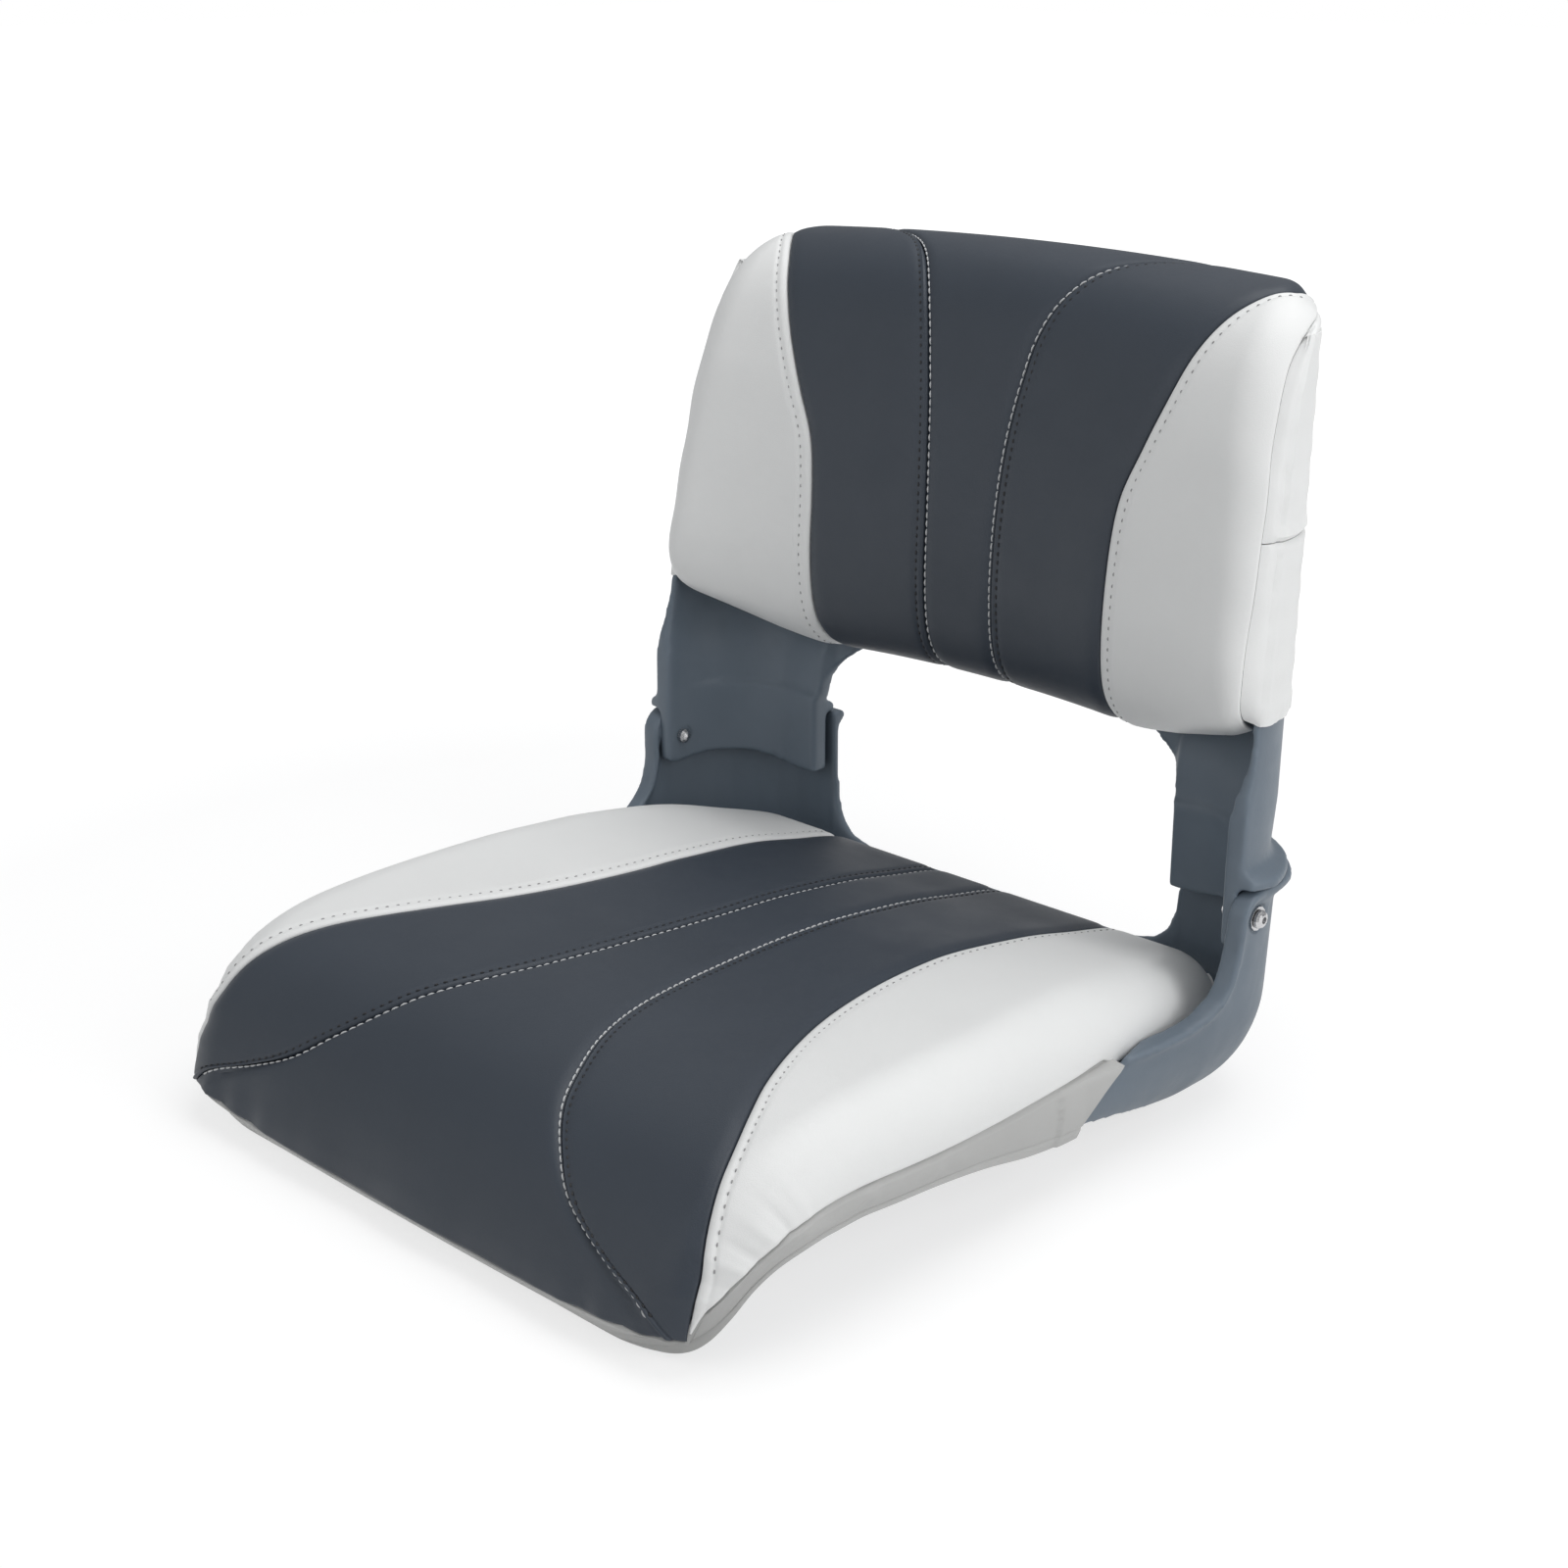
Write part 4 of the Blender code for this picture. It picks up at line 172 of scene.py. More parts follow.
# Relief down the back's boxing: how far over a line, how wide and how high
CROSS_SEAM_LINES = ((0.0, 0.0010, -0.0012), (0.003, 0.0022, 0.0009), (-0.004, 0.0030, 0.0006))
HEM_RISE, HEM_STITCH_WIDTH, HEM_STITCH_DIP, HEM_PUCKER = 0.012, 0.0011, 0.0007, 0.0004
BRIDGE_BULGE, CORNER_TUCK = 0.0016, 0.002
TOP_SWELL, TOP_DROP, SLACK_HEIGHT, SLACK = 0.0024, 0.003, 170, 0.0005
REAR_TURN_SHARE, REAR_SLACK = 0.08, 0.0018
REAR_HEM_RISE, REAR_HEM_WIDTH, REAR_HEM_DIP = 0.015, 0.0012, 0.0007


def placed(name, data):
    obj = bpy.data.objects.new(name, data)
    bpy.context.scene.collection.objects.link(obj)
    return obj


def mesh_object(name, verts, faces, look, body, slot=None):
    """A smooth closed mesh that rides on a body, with its normals outwards."""
    mesh = bpy.data.meshes.new(name)
    mesh.from_pydata(np.asarray(verts, np.float32).tolist(), [], faces)
    built = bmesh.new()
    built.from_mesh(mesh)
    bmesh.ops.recalc_face_normals(built, faces=built.faces)
    if built.calc_volume(signed=True) < 0:
        bmesh.ops.reverse_faces(built, faces=built.faces)
    built.to_mesh(mesh)
    built.free()
    mesh.shade_smooth()
    mesh.set_sharp_from_angle(angle=math.radians(40))
    mesh.materials.append(look)
    obj = placed(name, mesh)
    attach(obj, body)
    return obj


def grid_block(outer, inner):
    """Points and faces of the closed skin between two grids of points."""
    outer, inner = np.asarray(outer), np.asarray(inner)
    rows, cols = outer.shape[:2]
    under, last = rows * cols, (rows - 1) * cols
    faces = []
    for a in (i * cols + j for i in range(rows - 1) for j in range(cols - 1)):
        b, c, d = a + 1, a + cols + 1, a + cols
        faces += [(a, b, c, d), (under + d, under + c, under + b, under + a)]
    for j in range(cols - 1):
        k = j + 1
        faces += [(k, j, under + j, under + k), (last + j, last + k, under + last + k, under + last + j)]
    for a in range(0, last, cols):
        b, c, d = a + cols, a + cols - 1, a + 2 * cols - 1
        faces += [(a, b, under + b, under + a), (d, c, under + c, under + d)]
    return np.concatenate([outer.reshape(-1, 3), inner.reshape(-1, 3)]), faces


def bar_block(sections):
    """Points and faces of the closed bar through rings of points."""
    sections = np.asarray(sections)
    count, sides = sections.shape[:2]
    faces = [tuple(range(sides)), tuple((count - 1) * sides + i for i in reversed(range(sides)))]
    for i in range(0, (count - 1) * sides, sides):
        for j in range(sides):
            k = (j + 1) % sides
            faces.append((i + j, i + sides + j, i + sides + k, i + k))
    return sections.reshape(-1, 3), faces


def soft_skin(name, outer, inner, look, body, slot, node, fill):
    """A closed skin between two grids, in place of a node."""
    made = mesh_object(name, *grid_block(outer, inner), look, body, slot)
    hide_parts(node)


def smooth_table(table, column, shares):
    xs = np.array([row[0] for row in table], float)
    ys = np.array([row[column] for row in table], float)
    slopes = np.diff(ys) / np.diff(xs)
    tangents = np.concatenate([[slopes[0]], (slopes[1:] + slopes[:-1]) / 2, [slopes[-1]]])
    flat = np.concatenate([[False], slopes[1:] * slopes[:-1] <= 0, [False]])
    tangents[flat] = 0
    for i, slope in enumerate(slopes):
        limit = 3 * abs(slope)
        tangents[i] = np.clip(tangents[i], -limit, limit)
        tangents[i + 1] = np.clip(tangents[i + 1], -limit, limit)
    shares = np.clip(shares, xs[0], xs[-1])
    at = np.clip(np.searchsorted(xs, shares) - 1, 0, len(xs) - 2)
    width = xs[at + 1] - xs[at]
    t = (shares - xs[at]) / width
    return ((1 + 2 * t) * (1 - t) ** 2 * ys[at] + t * (1 - t) ** 2 * width * tangents[at]
            + t * t * (3 - 2 * t) * ys[at + 1] + t * t * (t - 1) * width * tangents[at + 1])


def curve_through(points, count):
    points = np.asarray(points, float)
    padded = np.vstack([2 * points[0] - points[1], points, 2 * points[-1] - points[-2]])
    dense = []
    for i in range(1, len(padded) - 2):
        before, start, end, after = padded[i - 1 : i + 3]
        for t in np.linspace(0, 1, 40, endpoint=False):
            bend, turn = 2 * before - 5 * start + 4 * end - after, 3 * start - before - 3 * end + after
            dense.append(0.5 * (2 * start + (end - before) * t + bend * t * t + turn * t**3))
    dense.append(points[-1])
    dense = np.array(dense)
    length = np.concatenate([[0], np.cumsum(np.linalg.norm(np.diff(dense[:, :2], axis=0), axis=1))])
    at = np.linspace(0, length[-1], count)
    return np.column_stack([np.interp(at, length, dense[:, k]) for k in range(dense.shape[1])])


class Cushion:
    """The outer surface of a sewn cushion, by the length across and the share of its section."""

    SAMPLES = 601

    def __init__(self, section, borders, half_width, roll, corner_share=0.0):
        self.half_width, self.roll, self.corner_share = half_width, roll, corner_share
        self.table = curve_through(section, self.SAMPLES)
        run = np.gradient(self.table[:, :2], axis=0)
        run /= np.linalg.norm(run, axis=1)[:, None]
        self.normals = np.column_stack([run[:, 1], -run[:, 0]])
        self.borders = borders
        self.relief = lambda s, v, place: 0.0
        self.shape = lambda points: points

    def row(self, v):
        at = np.linspace(0, 1, self.SAMPLES)
        return [np.interp(v, at, column) for column in (*self.table.T, *self.normals.T)]

    def reach(self, v):
        _, _, half, radius, _, _, _ = self.row(v)
        return half - radius * math.sin(self.roll) + radius * self.roll

    def seam(self, which, v):
        return smooth_table(self.borders[which], 1, v) * self.half_width

    def plain(self, s, v):
        """The surface without its sewn detail, as the solids have it."""
        s, v = np.broadcast_arrays(np.asarray(s, float), np.asarray(v, float))
        across = np.abs(s)
        v = v - self.corner_share * np.minimum(1.0, across / self.half_width) ** 3 * v**10
        y, z, half, radius, rise, ny, nz = self.row(v)
        flat = half - radius * math.sin(self.roll)
        turn = np.maximum(0.0, across - flat) / radius
        straight = np.maximum(0.0, turn - math.pi / 2) * radius
        turn = np.minimum(turn, math.pi / 2)
        x = np.where(across < flat, across, flat + radius * np.sin(turn))
        height = rise * (x / half) ** 2 - radius * (1 - np.cos(turn)) - straight
        for which in ("border", "centre"):
            away = (across - self.seam(which, v)) / CHANNEL_WIDTH
            height = height - CHANNEL_DEPTH * np.exp(-away * away)
        return self.shape(np.stack([np.copysign(x, s), y + ny * height, z + nz * height], axis=-1))

    def surface(self, s, v):
        """Points with the sewn detail, and the way out there."""
        s, v = np.broadcast_arrays(np.asarray(s, float), np.asarray(v, float))
        step = 1e-3
        here = self.plain(s, v)
        du = self.plain(s + step * self.half_width, v) - self.plain(s - step * self.half_width, v)
        low, high = np.maximum(0.0, v - step), np.minimum(1.0, v + step)
        dv = self.plain(s, high) - self.plain(s, low)
        normal = np.cross(dv, du)
        normal /= np.linalg.norm(normal, axis=-1)[..., None]
        return here + normal * np.asarray(self.relief(s, v, here))[..., None], normal


def section_of(shares, starts, scales):
    return [[start + share * scale for share, start, scale in zip(row, starts, scales)] for row in shares]


SEAT = Cushion(
    section_of(SEAT_SECTION_SHARES, (SEAT_REAR_Y, 0, 0, 0, 0),
               (-SEAT_DEPTH, SEAT_TOP_Z, SEAT_HALF_WIDTH, SEAT_EDGE_RADIUS, SEAT_SIDE_RISE)),
    {"border": SEAT_BORDER_SHARES, "centre": SEAT_CENTRE_SHARES, "lower": SEAT_LOWER_SEAM_SHARES},
    SEAT_HALF_WIDTH, math.pi / 2, SEAT_CORNER_SHARE)
BACK = Cushion(
    section_of(BACK_SECTION_SHARES, (BACK_FRONT_Y, BACK_BOTTOM_Z, 0, 0, 0),
               (BACK_DEPTH, BACK_HEIGHT, BACK_HALF_WIDTH, BACK_EDGE_RADIUS, BACK_SIDE_LEAD)),
    {"border": BACK_BORDER_SHARES, "centre": BACK_CENTRE_SHARES}, BACK_HALF_WIDTH, BACK_EDGE_ROLL)


def lifted_corners(points):
    """The back's lower corners, which the cover draws up towards the arms."""
    out = np.clip((np.abs(points[..., 0]) - LIFT_START_X) / LIFT_RUN, 0, 1.1)
    low = np.clip((LIFT_TOP_Z - points[..., 2]) / LIFT_DEPTH, 0, 1.1)
    points = points.copy()
    points[..., 2] += CORNER_LIFT * out ** 1.3 * low**2
    return points


BACK.shape = lifted_corners


def deck_z(y):
    back = np.minimum(1.0, (y - DECK_CREST_Y) / (PAN_REAR_Y - DECK_CREST_Y))
    front = np.minimum(1.0, (DECK_CREST_Y - y) / (DECK_CREST_Y - PAN_FRONT_Y))
    return np.where(y > DECK_CREST_Y, DECK_CREST_Z + (DECK_REAR_Z - DECK_CREST_Z) * back**2,
                    DECK_CREST_Z + (DECK_FRONT_Z - DECK_CREST_Z) * front**2)


def pan_half_width(y, z):
    back = np.interp(y, PAN_WIDENING_Y, (0, 1))
    up = max(0.0, z - DECK_REAR_Z) / (UPRIGHT_TOP_Z - DECK_REAR_Z)
    return PAN_HALF_WIDTH + back * (PAN_REAR_HALF_WIDTH - PAN_HALF_WIDTH + up * UPRIGHT_SPREAD)


def along_pan(y):
    return (y - PAN_FRONT_Y) / (PAN_REAR_Y - PAN_FRONT_Y)


def under_inset(y, z):
    """How far the pan's wall draws in below, in a round that grows towards the rear."""
    back = min(1.0, max(0.0, 1.6 * along_pan(y) - 0.2))
    under = PAN_UNDER_FRONT + (PAN_UNDER_REAR - PAN_UNDER_FRONT) * back
    return under - math.sqrt(max(0.0, under**2 - max(0.0, under - z) ** 2))


# Materials
def nodes_of(name):
    look = bpy.data.materials.new(name)
    look.use_nodes = True
    tree = look.node_tree
    return look, tree, tree.nodes["Principled BSDF"]


def add(tree, kind, **values):
    node = tree.nodes.new(kind)
    for key, value in values.items():
        if key in node.bl_rna.properties:
            setattr(node, key, value)
        else:
            node.inputs[key].default_value = value
    return node


def noise(tree, scale, detail=4.0, roughness=0.5):
    place = add(tree, "ShaderNodeTexCoord")
    made = add(tree, "ShaderNodeTexNoise", Scale=scale, Detail=detail, Roughness=roughness)
    tree.links.new(place.outputs["Object"], made.inputs["Vector"])
    return made


def ramp(tree, source, low, high, start=0.0, end=1.0):
    made = add(tree, "ShaderNodeMapRange")
    for key, value in (("From Min", start), ("From Max", end), ("To Min", low), ("To Max", high)):
        made.inputs[key].default_value = value
    tree.links.new(source, made.inputs["Value"])
    return made.outputs["Result"]


def tint(tree, source, dark, light):
    made = add(tree, "ShaderNodeMix", data_type="RGBA")
    tree.links.new(source, made.inputs["Factor"])
    made.inputs["A"].default_value = (*dark, 1)
    made.inputs["B"].default_value = (*light, 1)
    return made.outputs["Result"]


def middle(tree, source, low=0.0, high=1.0):
    """The middle of a noise's range, from low to high."""
    return ramp(tree, source.outputs["Fac"], low, high, 0.3, 0.7)


def bumped(tree, shader, height, strength, distance):
    bump = add(tree, "ShaderNodeBump", Strength=strength, Distance=distance)
    tree.links.new(height, bump.inputs["Height"])
    tree.links.new(bump.outputs["Normal"], shader.inputs["Normal"])


def scaled(colour, share):
    return [min(1.0, c * share) for c in colour]


def vinyl(name, colour, roughness, grain=0.00008, variation=0.06):
    """Coated upholstery vinyl: a fine leather grain, soft colour variation and slight shine
    where it is rubbed."""
    look, tree, shader = nodes_of(name)
    link = tree.links.new
    place = add(tree, "ShaderNodeTexCoord")
    cells = add(tree, "ShaderNodeTexVoronoi", feature="DISTANCE_TO_EDGE", Scale=900.0, Randomness=0.95)
    warp = noise(tree, 260.0, 3.0)
    mixed = add(tree, "ShaderNodeMix", data_type="VECTOR")
    mixed.inputs["Factor"].default_value = 0.0025
    link(place.outputs["Object"], mixed.inputs["A"])
    link(warp.outputs["Color"], mixed.inputs["B"])
    link(mixed.outputs["Result"], cells.inputs["Vector"])
    fine = noise(tree, 1500.0, 3.0, 0.6)
    height = add(tree, "ShaderNodeMath", operation="MULTIPLY_ADD")
    link(ramp(tree, cells.outputs["Distance"], 0.0, 1.0, 0.0, 0.12), height.inputs[0])
    height.inputs[1].default_value = 0.7
    link(fine.outputs["Fac"], height.inputs[2])
    bumped(tree, shader, height.outputs[0], 0.55, grain)
    broad = middle(tree, noise(tree, 9.0, 5.0, 0.55))
    colours = scaled(colour, 1 - variation), scaled(colour, 1 + variation)
    link(tint(tree, broad, *colours), shader.inputs["Base Color"])
    wear = noise(tree, 22.0, 6.0, 0.6)
    link(middle(tree, wear, roughness - 0.05, roughness + 0.06), shader.inputs["Roughness"])
    shader.inputs["Specular IOR Level"].default_value = 0.42
    return look


def moulded(name, colour, roughness, grain=0.00012):
    """Moulded plastic with a fine spark-eroded texture, and a painted highlight that makes its convex edges
    paler.
    """
    look, tree, shader = nodes_of(name)
    link = tree.links.new
    height = add(tree, "ShaderNodeMath", operation="ADD")
    link(noise(tree, 900.0, 2.0, 0.7).outputs["Fac"], height.inputs[0])
    link(noise(tree, 300.0, 3.0, 0.5).outputs["Fac"], height.inputs[1])
    bumped(tree, shader, height.outputs[0], 0.5, grain)
    broad = middle(tree, noise(tree, 14.0, 4.0, 0.55))
    # Painted highlight: where the pointiness shows a convex edge, the colour mixes towards a plastic 1.6
    # times paler.
    edges = add(tree, "ShaderNodeNewGeometry")
    edge_highlight = add(tree, "ShaderNodeMix", data_type="RGBA")
    link(ramp(tree, edges.outputs["Pointiness"], 0.0, 0.35, 0.52, 0.60), edge_highlight.inputs["Factor"])
    link(tint(tree, broad, scaled(colour, 0.94), scaled(colour, 1.07)), edge_highlight.inputs["A"])
    edge_highlight.inputs["B"].default_value = (*scaled(colour, 1.6), 1)
    link(edge_highlight.outputs["Result"], shader.inputs["Base Color"])
    rubbed = noise(tree, 45.0, 5.0, 0.6)
    link(middle(tree, rubbed, roughness - 0.06, roughness + 0.06), shader.inputs["Roughness"])
    return look


def metal(name, colour, roughness):
    """Turned metal with fine lathe lines."""
    look, tree, shader = nodes_of(name)
    shader.inputs["Metallic"].default_value = 1.0
    marks, broad = noise(tree, 1400.0, 4.0, 0.6), noise(tree, 120.0, 3.0)
    tree.links.new(middle(tree, marks, roughness - 0.08, roughness + 0.10), shader.inputs["Roughness"])
    base = tint(tree, broad.outputs["Fac"], scaled(colour, 0.88), colour)
    tree.links.new(base, shader.inputs["Base Color"])
    bumped(tree, shader, marks.outputs["Fac"], 0.25, 0.00004)
    return look


def thread(name, colour):
    """Twisted sewing thread."""
    look, tree, shader = nodes_of(name)
    twist = noise(tree, 2600.0, 2.0, 0.5).outputs["Fac"]
    tree.links.new(tint(tree, twist, scaled(colour, 0.7), colour), shader.inputs["Base Color"])
    bumped(tree, shader, twist, 0.4, 0.0001)
    shader.inputs["Roughness"].default_value = 0.55
    return look


def foam_look(name, colour):
    """Open-cell foam with fine pores."""
    look, tree, shader = nodes_of(name)
    pores = noise(tree, 700.0, 6.0, 0.7)
    base = tint(tree, middle(tree, pores), scaled(colour, 0.75), colour)
    tree.links.new(base, shader.inputs["Base Color"])
    bumped(tree, shader, pores.outputs["Fac"], 0.8, 0.0006)
    shader.inputs["Roughness"].default_value = 0.9
    return look


CHARCOAL = vinyl("vinyl_charcoal", (0.037, 0.047, 0.063), 0.47)
WHITE = vinyl("vinyl_white", (0.80, 0.805, 0.80), 0.44, variation=0.02)
GREY = vinyl("vinyl_grey", (0.46, 0.46, 0.452), 0.48, variation=0.04)
PLASTIC = moulded("shell_plastic", (0.124, 0.157, 0.194), 0.47)
STEEL = metal("stainless_steel", (0.62, 0.62, 0.63), 0.22)
BRASS = metal("brass", (0.62, 0.46, 0.18), 0.30)
NYLON = moulded("nylon", (0.72, 0.72, 0.70), 0.40)
FOAM = foam_look("open_cell_foam", (0.72, 0.68, 0.50))
WHITE_THREAD = thread("thread_white", (0.74, 0.75, 0.76))
DARK_THREAD = thread("thread_dark", (0.012, 0.013, 0.016))
GREY_THREAD = thread("thread_grey", (0.36, 0.36, 0.36))


# Sewn detail of the covers
def bell(distance, width):
    return np.exp(-(distance / width) ** 2)


def gathered(distance, table, reach):
    """Puckers side by side, each a place, a width and a height, under one fading reach."""
    return sum(tall * bell(distance - place, width) for place, width, tall in table) * reach


def seat_gathers(s, v, across):
    """Small puckers above the flank seam's front and at the front's lower corners."""
    by_flank = FLANK_GATHER * bell(SEAT.seam("lower", v) - across, FLANK_GATHER_REACH)
    by_corner = FRONT_GATHER * bell(1.0 - v, 0.032)
    height = gathered(v, FLANK_GATHERS, by_flank)
    height = height + gathered(across - FRONT_GATHER_SHIFT * np.sign(s), FRONT_GATHERS, by_corner)
    return height + FRONT_WAVE * np.sin(s * 61 + 1.0) * bell(1.0 - v, 0.05)


def back_gathers(s, v, across):
    """Soft draws in the back's white panels near the hem by the arms."""
    height = gathered(across, BACK_GATHERS, BACK_GATHER * bell(1.0 - v, 0.05))
    return height + BACK_WAVE * np.sin(v * 43) * bell(across - BACK_WAVE_X, BACK_WAVE_REACH)


def sewn(cushion, gathers):
    """Dips along the lines of stitches, and the raised laps between them."""
    def relief(s, v, place):
        across, height = np.abs(s), 0.0
        for which, offset, tall, width in SEWN_LINES:
            height = height + tall * bell(across - cushion.seam(which, v) - offset, width)
        return height + gathers(s, v, across)
    return relief


SEAT.relief, BACK.relief = sewn(SEAT, seat_gathers), sewn(BACK, back_gathers)


def seat_edge_table():
    """How far the seat's cover reaches at each share: to its lower seam, and with a short skirt behind."""
    shares = np.linspace(0, 1, 201)
    edges = []
    for v in shares:
        edge = float(SEAT.seam("lower", v))
        y = SEAT.plain(edge, v)[1]
        edge += SKIRT * min(1.0, max(0.0, (y - BOXING_END_Y + SKIRT_LEAD) / SKIRT_RUN))
        while edge > 0:
            _, y, z = SEAT.plain(edge, v)
            if y < BOXING_END_Y or z > deck_z(y) + 4 * CLEARANCE:
                break
            edge -= CLEARANCE
        edges.append(edge)
    return shares, np.array(edges)


EDGE_TABLE = seat_edge_table()


def seat_edge(v):
    return np.interp(v, *EDGE_TABLE)


def rounded(distance):
    """How far a cover's folded edge lies below its face, by the distance from the edge."""
    inside = np.clip(1 - distance / EDGE_ROLL, 0, 1)
    return EDGE_ROLL * (1 - np.sqrt(1 - inside**2))


def spaced(count, span):
    """Shares from 0 to 1, close together at both ends for the folded edges."""
    steps = np.array([0, 0.10, 0.28, 0.55, 1.0, 1.9, 3.0]) * EDGE_ROLL / span
    middle = np.linspace(steps[-1], 1 - steps[-1], max(2, count))
    return np.concatenate([steps[:-1], middle, 1 - steps[:-1][::-1]])


def panel(cushion, name, side, near, far, rows, columns, look, body, slot, node):
    """One closed vinyl panel between two seams, with folded edges."""
    low, high = near(rows) + SEAM_GAP / 2, far(rows) - SEAM_GAP / 2
    across = spaced(columns, float(np.mean(high - low)))
    s = low[:, None] + (high - low)[:, None] * across
    v = np.repeat(rows[:, None], s.shape[1], axis=1)
    points, normals = cushion.surface(side * s, v)
    edge = np.minimum(s - low[:, None], high[:, None] - s)
    ends = np.minimum(*[np.linalg.norm(points - points[i][None], axis=2) for i in (0, -1)])
    drop = np.maximum(rounded(edge), rounded(ends))
    outer = points - normals * drop[..., None]
    inner = points - normals * (EDGE_ROLL + VINYL)
    soft_skin(name, outer, inner, look, body, slot, node, 0.7)


def cover(cushion, prefix, rows, white_rows, outer_edge, body):
    """The five panels of one cushion's cover."""
    def border(v):
        return np.minimum(cushion.seam("border", v), outer_edge(v))

    def centre(v):
        return np.minimum(cushion.seam("centre", v), border(v) - CHANNEL_WIDTH)

    panel(cushion, f"{prefix}_cover_centre", 1, lambda v: -centre(v), centre, rows, 60,
          CHARCOAL, body, "vinyl_charcoal", f"{prefix}_centre_panel")
    for side, hand in HANDS:
        panel(cushion, f"{prefix}_cover_charcoal_{hand}", side, centre, border, rows, 36,
              CHARCOAL, body, "vinyl_charcoal", f"{prefix}_charcoal_panel_{hand}")
        panel(cushion, f"{prefix}_cover_white_{hand}", side, border, outer_edge, white_rows, 40,
              WHITE, body, "vinyl_white", f"{prefix}_white_panel_{hand}")


def spaced_rows(count, end=1.0):
    rows = np.linspace(0, 1, count)
    first = np.array([0, 0.0003, 0.0009, 0.0018, 0.0032])
    return np.concatenate([first, rows[1:-1], 1 - first[::-1]]) * end


cover(SEAT, "seat", spaced_rows(230), spaced_rows(218, WHITE_END_SHARE), seat_edge, "base")
cover(BACK, "back", spaced_rows(150), spaced_rows(150), BACK.reach, "back")


# Stitches
def tubes(name, paths, radius, look, body, slot, sides=6):
    """Short bars through lists of points, all in one object, each closed at its ends."""
    verts, faces = [], []
    around = np.linspace(0, 2 * math.pi, sides, endpoint=False)
    for points, normals, radii in paths:
        run = np.gradient(points, axis=0)
        run /= np.linalg.norm(run, axis=1)[:, None]
        side = np.cross(run, normals)
        side /= np.linalg.norm(side, axis=1)[:, None]
        up = np.cross(side, run)
        rings = [[p + radius * r * (math.cos(turn) * a + math.sin(turn) * b) for turn in around]
                 for p, a, b, r in zip(points, side, up, radii)]
        bar_verts, bar_faces = bar_block(rings)
        faces += [tuple(len(verts) + i for i in face) for face in bar_faces]
        verts += list(bar_verts)
    return mesh_object(name, verts, faces, look, body, slot)


def stitches(cushion, offset, side, start, end, pitch, length, seed):
    """Stitches along a line offset(v) across a cushion, from one share of the section to another."""
    draw = np.random.default_rng(seed)
    v = np.linspace(start, end, 1500)
    points, normals = cushion.surface(side * offset(v), v)
    run = np.concatenate([[0], np.cumsum(np.linalg.norm(np.diff(points, axis=0), axis=1))])
    paths = []
    for begin in np.arange(pitch, run[-1] - pitch, pitch):
        begin += draw.uniform(-0.05, 0.05) * pitch
        shares = np.linspace(0, 1, 7)
        at = begin + shares * length
        centre = np.column_stack([np.interp(at, run, points[:, k]) for k in range(3)])
        out = np.column_stack([np.interp(at, run, normals[:, k]) for k in range(3)])
        lift = THREAD_RADIUS * (1.35 * np.sin(math.pi * shares) ** 0.6 - 0.75)
        paths.append((centre + out * lift[:, None], out, 0.72 + 0.28 * np.sin(math.pi * shares)))
    return paths


def sew(cushion, prefix, body, centre_span, border_span, edge):
    """Twin lines of stitches by the centre seam and one by the border, on both sides."""
    white, dark, grey = [], [], []

    def topstitch(v):
        return np.minimum(cushion.seam("border", v) + TOPSTITCH_OFFSET, edge(v) - TOPSTITCH_ROOM)

    for side in (1, -1):
        white += stitches(cushion, lambda v: cushion.seam("centre", v) - WHITE_OFFSET, side, *centre_span,
                          STITCH_PITCH, STITCH_LENGTH, 11 + side)
        dark += stitches(cushion, lambda v: cushion.seam("centre", v) + DARK_OFFSET, side, *centre_span,
                         STITCH_PITCH, STITCH_LENGTH * 0.55, 21 + side)
        grey += stitches(cushion, topstitch, side, *border_span,
                         STITCH_PITCH * 1.2, STITCH_LENGTH * 0.5, 31 + side)
    tubes(f"{prefix}_stitches_white", white, THREAD_RADIUS * 1.3, WHITE_THREAD, body, None)
    tubes(f"{prefix}_stitches_dark", dark, THREAD_RADIUS * 1.7, DARK_THREAD, body, None)
    tubes(f"{prefix}_stitches_grey", grey, THREAD_RADIUS, GREY_THREAD, body, None)


sew(SEAT, "seat", "base", (0.02, 0.985), (0.02, 0.93), seat_edge)
sew(BACK, "back", "back", (0.02, 0.985), (0.10, 0.985), BACK.reach)


# Moulded plastic, from closed forms that are merged and softened
def both_halves(row):
    """A row of points from the left to the middle, with its mirror image."""
    row = np.asarray(row)
    return np.concatenate([row, row[-2::-1] * (-1, 1, 1)])


